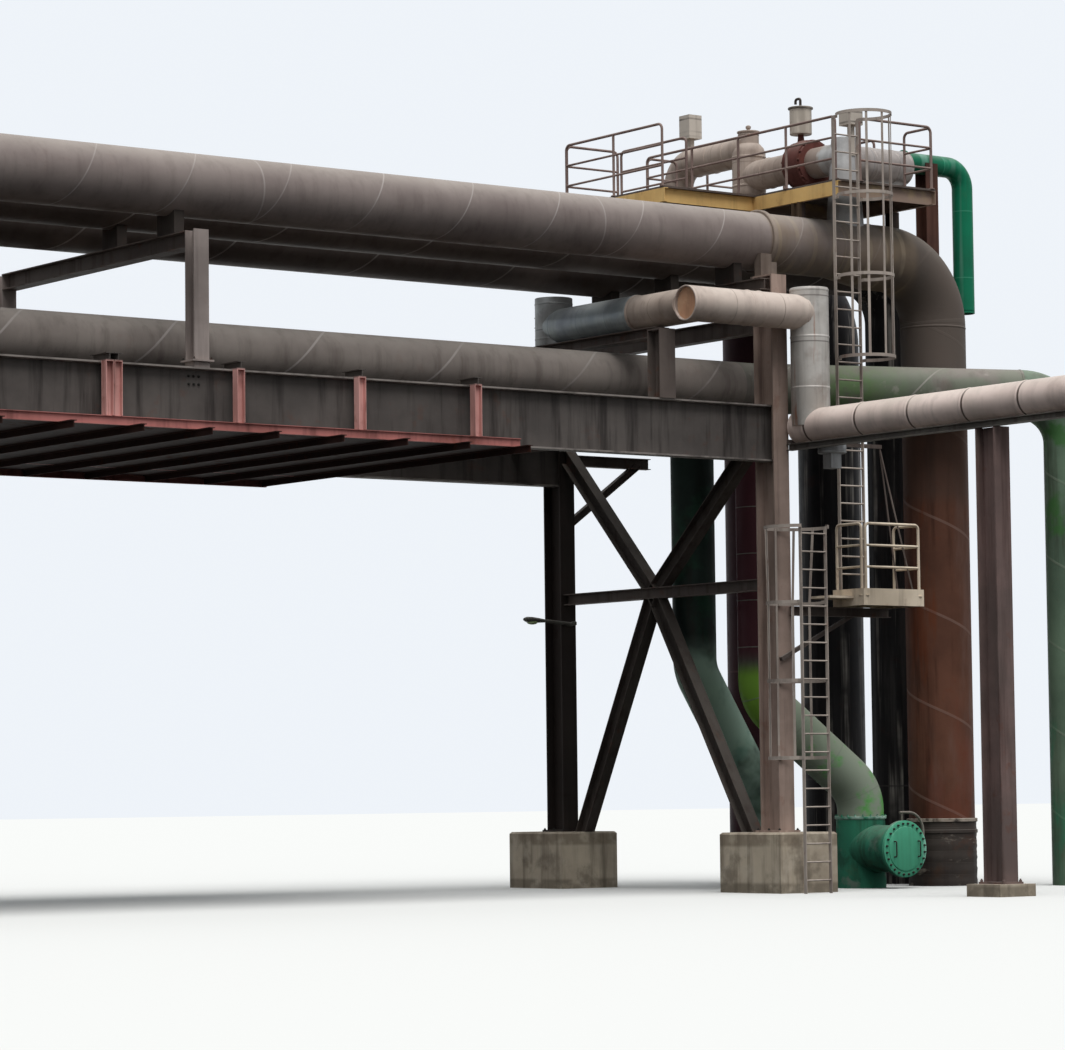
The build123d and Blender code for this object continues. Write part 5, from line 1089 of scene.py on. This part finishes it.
# %% Insulated valve train
TRAIN_HIGH, POT_Y, TURN_Y = 12.13, 3.08, 4.95
VESSEL_LOW, VESSEL_R = 11.28, 0.279
train_paint = weathered("train_paint", (182, 166, 154), (148, 132, 121), rust=0.08, streaks=0.3, dust_and_top_light=0.25,
                        rough=0.45,
                        marks=[rings(0.78, SHEET_SEAM, share=0.014, lift=1.4, shift=0.1),
                               lap(0.3, SHEET_SEAM),
                               patches((172, 158, 146), 1.4, (0.5, 0.66), amount=0.5, shift=6.0)])
train_path = ((POT_Y, TRAIN_HIGH), (TURN_Y, TRAIN_HIGH), (TURN_Y, BACK_Z), (FAR_Y, BACK_Z))
vessel_profile = [(0, 0.14), (0.04, 0.22), (0.10, 0.265), (0.16, VESSEL_R), (0.80, VESSEL_R), (0.88, 0.25),
                  (0.95, 0.19)]
pot_profile = [(0, 0.175), (0.29, 0.172), (0.295, 0.19), (0.315, 0.19), (0.32, 0.185)]
knob_profile = [(0, 0.03), (0.05, 0.03), (0.06, 0.045), (0.09, 0.045), (0.11, 0.02)]
pot_line = (TRAIN_X, POT_Y, 0)
train_shapes = [pipe([(TRAIN_X, 1.81, TRAIN_Z), (TRAIN_X, POT_Y, TRAIN_Z)], TRAIN_R),
                pipe([(TRAIN_X, y, z) for y, z in train_path], TRAIN_R, bend=0.42),
                turned_body(vessel_profile, (TRAIN_X, POT_Y, VESSEL_LOW), UP),
                turned_body(pot_profile, (TRAIN_X, POT_Y, TRAIN_HIGH), UP, around=56),
                turned_body(knob_profile, (TRAIN_X, POT_Y, TRAIN_HIGH + 0.315), UP, around=24),
                *collars(pot_line, UP, [12.20], 0.172, width=0.04, height=0.012),
                *collars(pot_line, UP, [12.37], 0.168, width=0.03, height=0.01),
                *collars(pot_line, UP, (11.50, 11.98), VESSEL_R - 0.001, width=0.05, height=0.012),
                *collars((TRAIN_X, 0, TRAIN_HIGH), AWAY, (3.5, 3.95, 4.4), TRAIN_R, width=0.04, height=0.01),
                *collars((TRAIN_X, 0, TRAIN_Z), AWAY, (1.95, 2.5), TRAIN_R, width=0.04, height=0.01)]
piece("valve_train_skin", train_shapes, train_paint, "lagging", "valve_train")

# %% [markdown]
# The vent is a plain painted pipe that leads out from the silver pipe and turns down to an open
# end beside the near riser's elbow.

# %% Vent
VENT_X, VENT_Z, VENT_R, VENT_END = 4.72, 11.73, 0.17, 9.33
vent_paint = weathered("vent_paint", (26, 124, 90), (32, 104, 78), rust=0.04, streaks=0.25, dust_and_top_light=0.15,
                       rough=0.4,
                       marks=[rings(1.1, (70, 150, 120), share=0.01, lift=1.0, shift=0.3),
                              runs((120, 168, 150), 4.0, (0.56, 0.7), amount=0.6)])
vent_path = ((SILVER_END, VENT_Z), (VENT_X, VENT_Z), (VENT_X, VENT_END + 0.03))
vent_shapes = [pipe([(x, SILVER_Y, z) for x, z in vent_path], VENT_R, bend=2 * VENT_R, steps=16),
               cup((VENT_X, SILVER_Y, VENT_END), UP, outer=VENT_R, inner=VENT_R - 0.012, depth=0.05,
                   around=64),
               flange((SILVER_END - 0.02, SILVER_Y, VENT_Z), RIGHT, radius=VENT_R + 0.03, thickness=0.03,
                      chamfer=0.004)]
piece("vent_pipe_skin", vent_shapes, vent_paint, "vent_green", "vent_pipe")

# %% [markdown]
# Railings are bent from tube: each panel's top rail runs down into its end posts in one bend, and
# the posts between and the two lower rails are welded in. The gallery's panels leave gaps where the
# pipes and the ladder come through.

# %% Railings
RAIL_R, RAIL_HEIGHT, POST_PITCH = 0.022, 1.0, 1.3
THIN_RAIL_R = 0.85 * RAIL_R
POST_FOOT = [(0, 0.05), (0.012, 0.05)]


def railing(start, end, low, foot, bend=0.09):
    """One panel: a hoop of top rail and end posts, two lower rails, and posts at even spacing."""
    start, end = np.array(start, float), np.array(end, float)
    length = np.linalg.norm(end - start)
    inset = 2 * RAIL_R * (end - start) / length
    count = max(1, round(length / POST_PITCH))
    first, last = start + inset, end - inset
    top = low + RAIL_HEIGHT
    posts = [first + (last - first) * index / count for index in range(count + 1)]
    bent = [(*first, foot), (*first, top), (*last, top), (*last, foot)]
    shapes = [pipe(bent, RAIL_R, bend=bend, around=14, steps=8, up=RIGHT)]
    shapes += [pipe([(*first, level), (*last, level)], THIN_RAIL_R, around=12)
               for level in (low + RAIL_HEIGHT / 3, low + RAIL_HEIGHT * 2 / 3)]
    shapes += [pipe([(*place, foot), (*place, top)], RAIL_R, around=12) for place in posts[1:-1]]
    return shapes + [turned_body(POST_FOOT, (*place, foot), UP, around=16) for place in posts]


GALLERY_Z = 11.12
TRAIN_GAP, SILVER_GAP, LADDER_GAP_X, BAY_RETURN = 0.29, 0.32, 1.53, 1.8
gallery_left, gallery_right = 1.08 + RAIL_R, 3.15 - RAIL_R
gallery_front, gallery_back = -0.3 + RAIL_R, 4.6 - RAIL_R
bay_left, bay_right = -0.8 + RAIL_R, 0.34 + RAIL_R
bay_front, bay_back = 1.7 + RAIL_R, 4.35 - RAIL_R
gallery_runs = [((gallery_left, gallery_front), (gallery_left, gallery_back)),
                ((bay_left, bay_front), (bay_left, bay_back)),
                ((bay_left, bay_back), (bay_right, bay_back)),
                ((bay_right, bay_back), (bay_right, bay_back - BAY_RETURN)),
                ((gallery_left, gallery_back), (TRAIN_X - TRAIN_GAP, gallery_back)),
                ((TRAIN_X + TRAIN_GAP, gallery_back), (gallery_right, gallery_back)),
                ((gallery_right, gallery_back), (gallery_right, SILVER_Y + SILVER_GAP)),
                ((gallery_right, SILVER_Y - SILVER_GAP), (gallery_right, gallery_front)),
                ((gallery_right, gallery_front), (LADDER_GAP_X, gallery_front))]
gallery_rails = [shape for start, end in gallery_runs for shape in railing(start, end, GALLERY_Z, GALLERY_Z)]
piece("gallery_rails", gallery_rails, PAINTS["brown_rail"], "brown_rail", "gallery_railings")

LANDING_Z, LANDING_FOOT, LANDING_INSET = 4.64, 4.53, 0.031
landing_left, landing_right = 0.74 + LANDING_INSET, 1.98 - LANDING_INSET
landing_front, landing_back = -1.13 + LANDING_INSET, -0.41 - LANDING_INSET
landing_corners = [(landing_right, landing_back), (landing_right, landing_front),
                   (landing_left, landing_front), (landing_left, landing_back)]
landing_rails = [shape for start, end in zip(landing_corners, landing_corners[1:])
                 for shape in railing(start, end, LANDING_Z, LANDING_FOOT, bend=0.07)]
piece("landing_rails", landing_rails, PAINTS["cream_steel"], "cream_steel", "landing_railing")

# %% [markdown]
# The ladders have flat rails and round rungs; the cages are flat hoops with five flat straps, and
# the lower cage's top hoop is wider for stepping off. A rung is made once and copied to every level.

# %% Ladders
LADDER_HALF, RAIL_THIN, RAIL_DEEP = 0.25, 0.014, 0.065
RUNG_R, RUNG_PITCH = 0.013, 0.276


def ladder(x, y, low, high, first):
    """Two flat rails with chamfered edges, and rungs at one pitch with a small weld at each end."""
    half_thin, half_deep = RAIL_THIN / 2, RAIL_DEEP / 2
    shapes = [block((rail - half_thin, y - half_deep, low), (rail + half_thin, y + half_deep, high),
                    chamfer=0.003) for rail in (x - LADDER_HALF, x + LADDER_HALF)]
    levels = np.arange(first, high - 0.1 + 1e-6, RUNG_PITCH)
    lifts = np.column_stack([np.zeros((len(levels), 2)), levels])
    rung = pipe([(x - LADDER_HALF, y, 0), (x + LADDER_HALF, y, 0)], RUNG_R, around=14)
    shapes.append(copies(rung, lifts))
    for side in (-1, 1):
        place = (x + side * (LADDER_HALF - half_thin), y, 0)
        weld = turned_body([(0, 0.019), (0.006, 0.015)], place, (-side, 0, 0), around=12)
        shapes.append(copies(weld, lifts))
    return shapes


UPPER_TOP = GALLERY_Z + 0.94
UPPER_X, UPPER_Y = 1.18, -0.38
LOWER_X, LOWER_LADDER_Y, LOWER_TOP = -0.275, -1.13, 5.56
cream = weathered("ladder_paint", (186, 174, 163), (148, 136, 128), rust=0.3, streaks=0.35, dust_and_top_light=0.1)
lower_ladder = ladder(LOWER_X, LOWER_LADDER_Y, 0, LOWER_TOP, 0.2)
upper_ladder = ladder(UPPER_X, UPPER_Y, LANDING_FOOT, UPPER_TOP, LANDING_Z + 0.26)
piece("lower_ladder_skin", lower_ladder, cream, "cream_steel", "lower_ladder")
piece("upper_ladder_skin", upper_ladder, cream, "cream_steel", "upper_ladder")

# %% [markdown]
# A hoop is a flat strap carried round an arc that stops at the ladder's rails; two short lugs close
# the gap. The straps run up inside the hoops at even angles over the half circle behind the climber.

# %% Cages
CAGE_R, STRAP_WIDE, STRAP_THIN, STRAPS, FLARE = 0.44, 0.05, 0.008, 5, 0.06


def hoop(x, y, z, side, grow=0.0):
    """A flat strap carried round an arc that stops at the ladder, with a lug to each rail."""
    radius = CAGE_R - STRAP_THIN / 2 + grow
    centre = np.array([x, y + side * (CAGE_R - grow), z])
    half = LADDER_HALF + RAIL_THIN / 2
    gap = math.asin(half / radius)
    angle = np.linspace(gap, 2 * math.pi - gap, 41)[:, None]
    back, right = np.array([0, -side, 0]), np.array([side, 0, 0])
    places = centre + radius * (np.cos(angle) * back + np.sin(angle) * right)
    headings = -np.sin(angle) * back + np.cos(angle) * right
    shapes = [closed(carried(flat_outline(STRAP_WIDE, STRAP_THIN), places, headings), lengths(places))]
    end = centre[1] - side * math.sqrt(radius ** 2 - half ** 2)
    for edge in (x - half, x + half):
        shapes.append(bar((edge, y - side * 0.02, z), (edge, end + side * 0.03, z), STRAP_THIN, STRAP_WIDE))
    return shapes


def cage(x, y, side, levels, flare=0.0):
    """Hoops and straps; the straps lean outwards below a wider top hoop."""
    shapes = [shape for z in levels[:-1] for shape in hoop(x, y, z, side)]
    shapes += hoop(x, y, levels[-1], side, flare)
    low, knee, high = levels[0] - STRAP_WIDE / 2, levels[-2], levels[-1] + STRAP_WIDE / 2
    inside = CAGE_R - 1.5 * STRAP_THIN
    for angle in math.pi * (np.arange(STRAPS) + 0.5) / STRAPS:
        out = (math.cos(angle), side * math.sin(angle), 0)
        foot, head = ((x + (inside + grow) * out[0], y + side * (CAGE_R - grow) + (inside + grow) * out[1])
                      for grow in (0.0, flare))
        shapes.append(bar((*foot, low), (*foot, knee), 0.04, STRAP_THIN, out))
        shapes.append(bar((*foot, knee), (*head, high), 0.04, STRAP_THIN, out))
    return shapes


lower_levels = (2.05, 3.22, 4.41, LOWER_TOP)
upper_levels = [UPPER_TOP - 1.27 * step for step in (3, 2, 1, 0)]
spacers = [block((-0.25, -0.275, z - 0.025), (-0.2, -0.225, z + 0.025)) for z in lower_levels]
lower_cage = cage(LOWER_X, LOWER_LADDER_Y, 1, lower_levels, FLARE)
piece("lower_cage_skin", lower_cage + spacers, cream, "cream_steel", "lower_cage")
piece("upper_cage_skin", cage(UPPER_X, UPPER_Y, -1, upper_levels), cream, "cream_steel", "upper_cage")

# %% [markdown]
# Small steelwork: anchor bolts hold the column feet and the goalpost, a bolt group joins the girder
# near the goalpost, and a strap with a lug on the column head holds the near pipe.

# %% Bolts and the strap
TRESTLE_X, COLUMN_Y = (-0.1, -18.37), (0, 5.5)
OUTRIGGER_X, OUTRIGGER_Y, SLAB_TOP = 0.16, -4.65, 0.18
ANCHOR_Z, GOALPOST_X, GOALPOST_Z = 0.95, -10.48, 7.605


def grid(x_places, y_places, z):
    """Places of a rectangular bolt group."""
    return [(x, y, z) for x in x_places for y in y_places]


anchor_places = [place for x in TRESTLE_X for y in COLUMN_Y
                 for place in grid((x - 0.18, x + 0.18), (y - 0.255, y, y + 0.255), ANCHOR_Z)]
piece("anchor_bolts", [bolts(anchor_places, UP, size=0.022, height=0.018)], bolt_paint, "cream_steel")

foot_plate = block((OUTRIGGER_X - 0.2, OUTRIGGER_Y - 0.26, SLAB_TOP),
                   (OUTRIGGER_X + 0.2, OUTRIGGER_Y + 0.26, SLAB_TOP + 0.03))
foot_places = grid((OUTRIGGER_X - 0.165, OUTRIGGER_X + 0.165), (OUTRIGGER_Y - 0.23, OUTRIGGER_Y + 0.23),
                   SLAB_TOP + 0.03)
piece("outrigger_foot", [foot_plate, bolts(foot_places, UP, size=0.024, height=0.026)],
      OWN_PAINTS["outrigger_column"], "red_steel")

post_places = [place for y in COLUMN_Y
               for place in grid((GOALPOST_X - 0.14, GOALPOST_X + 0.14), (y - 0.145, y + 0.145), GOALPOST_Z)]
splice_places = [(x, -0.007, z) for x in (-10.63, -10.55, -10.47) for z in (7.27, 7.38)]
steel_bolts = [bolts(post_places, UP, size=0.018, height=0.02),
               bolts(splice_places, NEARER, size=0.019, height=0.02)]
piece("steel_bolts", steel_bolts, bolt_paint, "grey_steel")

strap_paint = weathered("strap_paint", (150, 136, 124), (110, 98, 90), rust=0.3, streaks=0.4, dust_and_top_light=0.2)
strap = [flange((0.20, NEAR_Y, NEAR_Z), RIGHT, radius=NEAR_R + 0.045, thickness=0.09, chamfer=0.012,
                around=96),
         block((-0.12, 0.06, 9.53), (0.28, 0.44, 9.56)),
         block((-0.06, 0.24, 9.56), (0.16, 0.40, 9.92)),
         block((0.16, 0.26, 9.56), (0.28, 0.44, 9.80))]
piece("pipe_strap", strap, strap_paint, "taupe_pipe")

# %% [markdown]
# A street lamp reaches out from the far column: a bent tube, and a pressed hood that is widest over
# its lens. Both are ellipses carried along a line with a size of their own at each station. The
# lens bulges below the hood, its size a half circle along its length, and is pale green glass.

# %% Lamp
LAMP_X, LAMP_Y = -0.87, 5.125
POST_X, POST_Y, ARM_Z = -0.1, 5.275, 4.33
LENS_HALF = 0.10


def ellipses(wide, high, places, sizes, around):
    """A closed body of ellipses along a line that leads to the left, each with its own size."""
    headings = np.tile(LEFT, (len(places), 1))
    return closed(carried(circle(around) * [wide, high], places, headings, sizes), lengths(places))


lamp_paint = weathered("lamp_paint", (122, 120, 112), (92, 90, 84), rust=0.1, streaks=0.3, dust_and_top_light=0.2,
                       rough=0.5)
hood_x = np.array([0.24, 0.20, 0.12, 0.02, -0.10, -0.19, -0.235, -0.24])
hood_sizes = np.array([0.30, 0.46, 0.62, 0.82, 0.96, 0.90, 0.55, 0.30])
hood_places = np.column_stack([LAMP_X + hood_x, np.full(len(hood_x), LAMP_Y), 4.385 - 0.05 * hood_x])
arm_route = [(POST_X, POST_Y, ARM_Z), (POST_X, LAMP_Y, ARM_Z), (LAMP_X + 0.2, LAMP_Y, ARM_Z + 0.045)]
knuckle = turned_body([(0, 0.02), (0.01, 0.045), (0.06, 0.045), (0.07, 0.03)], (POST_X, LAMP_Y, ARM_Z - 0.02),
                      UP, around=24)
hood = ellipses(0.098, 0.05, hood_places, hood_sizes, 40)
piece("lamp_hood", [hood, pipe(arm_route, 0.03, bend=0.08, around=24, steps=8), knuckle], lamp_paint,
      slots["lamp"], "lamp")

lens_x = np.linspace(LENS_HALF, -LENS_HALF, 9)
lens_sizes = np.sqrt(np.maximum(1 - (lens_x / (LENS_HALF + 0.002)) ** 2, 0.02))
lens_places = np.column_stack([LAMP_X - 0.09 + lens_x, np.full(9, LAMP_Y), np.full(9, 4.355)])
lens_paint = weathered("lens_paint", (206, 230, 160), (188, 214, 146), rust=0.0, streaks=0.1, dust_and_top_light=0.0,
                       rough=0.25, shine=0.4)
piece("lamp_lens", [ellipses(0.075, 0.045, lens_places, lens_sizes, 32)], lens_paint, slots["lamp"])

# %% [markdown]
# The camera stands where the photographer stood: far off, low, and looking up at the bridge a little
# from the left, with a long lens. Its roll is that of the picture.

# %% Camera
CAMERA_PLACE = (-38.06, -44.98, 1.587)
YAW, PITCH, ROLL = math.radians(36.54), math.radians(4.0), math.radians(-0.667)
LENS_PIXELS = 3809.8
PHOTO_WIDE = 1065

ahead = np.array([math.sin(YAW) * math.cos(PITCH), math.cos(YAW) * math.cos(PITCH), math.sin(PITCH)])
level = np.array([math.cos(YAW), -math.sin(YAW), 0])
across = level * math.cos(ROLL) + np.cross(level, ahead) * math.sin(ROLL)
upward = np.cross(across, ahead)
camera_data = bpy.data.cameras.new("photo_view")
camera_data.sensor_width = 36.0
camera_data.lens = LENS_PIXELS / PHOTO_WIDE * camera_data.sensor_width
camera_data.clip_end = 500
camera = bpy.data.objects.new("photo_view", camera_data)
turn = np.column_stack([across, upward, -ahead])
camera.matrix_world = Matrix.Translation(CAMERA_PLACE) @ Matrix(turn.tolist()).to_4x4()
bpy.context.scene.collection.objects.link(camera)
bpy.context.scene.camera = camera
print("lens", round(camera_data.lens, 1), "mm")

# %% [markdown]
# The bridge stands on a plain pale floor under a pale sky. The floor is pale where it is seen and
# dark where light bounces off it, as grass is, so that the undersides stay dark. One broad lamp
# overhead and the world's own light give the soft shade of a cloudy day.

# %% Floor, sky and lamp
FLOOR_HALF = 200.0


def two_ways(tree, kind, lit, shown, end):
    """One shader for light that bounces, another for rays that are seen, reflected or let through."""
    maker = Maker(tree)
    rays = maker.node("ShaderNodeLightPath").socket.node.outputs
    seen, glossy, through = (Flow(maker, rays[name]) for name in
                             ("Is Camera Ray", "Is Glossy Ray", "Is Transmission Ray"))
    sockets = {0: seen.most(glossy).most(through), 1: maker.node(kind, {}, lit),
               2: maker.node(kind, {}, shown)}
    maker.node(end, {}, {"Surface": maker.node("ShaderNodeMixShader", {}, sockets)})


corners = [(-FLOOR_HALF, -FLOOR_HALF, 0), (FLOOR_HALF, -FLOOR_HALF, 0), (FLOOR_HALF, FLOOR_HALF, 0),
           (-FLOOR_HALF, FLOOR_HALF, 0)]
floor_mesh = bpy.data.meshes.new("floor")
floor_mesh.from_pydata(corners, [], [(0, 1, 2, 3)])
floor = bpy.data.objects.new("floor", floor_mesh)
bpy.context.scene.collection.objects.link(floor)
floor_material = bpy.data.materials.new("floor")
floor_material.use_nodes = True
two_ways(floor_material.node_tree, "ShaderNodeBsdfDiffuse", {"Color": srgb((22, 22, 20))},
         {"Color": srgb((216, 216, 213))}, "ShaderNodeOutputMaterial")
floor_mesh.materials.append(floor_material)

sky = bpy.data.worlds.new("sky")
sky.use_nodes = True
two_ways(sky.node_tree, "ShaderNodeBackground", {"Color": (0.92, 0.96, 1.0, 1), "Strength": 0.55},
         {"Color": (0.86, 0.90, 0.95, 1), "Strength": 1.0}, "ShaderNodeOutputWorld")
bpy.context.scene.world = sky

sun_data = bpy.data.lights.new("soft_sun", "SUN")
sun_data.energy = 3.0
sun_data.angle = math.radians(50)
sun = bpy.data.objects.new("soft_sun", sun_data)
sun.rotation_euler = (math.radians(22), math.radians(-5), 0)
bpy.context.scene.collection.objects.link(sun)
bpy.context.scene.view_settings.view_transform = "Standard"
print("floor", 2 * FLOOR_HALF, "m wide; sun", sun_data.energy)
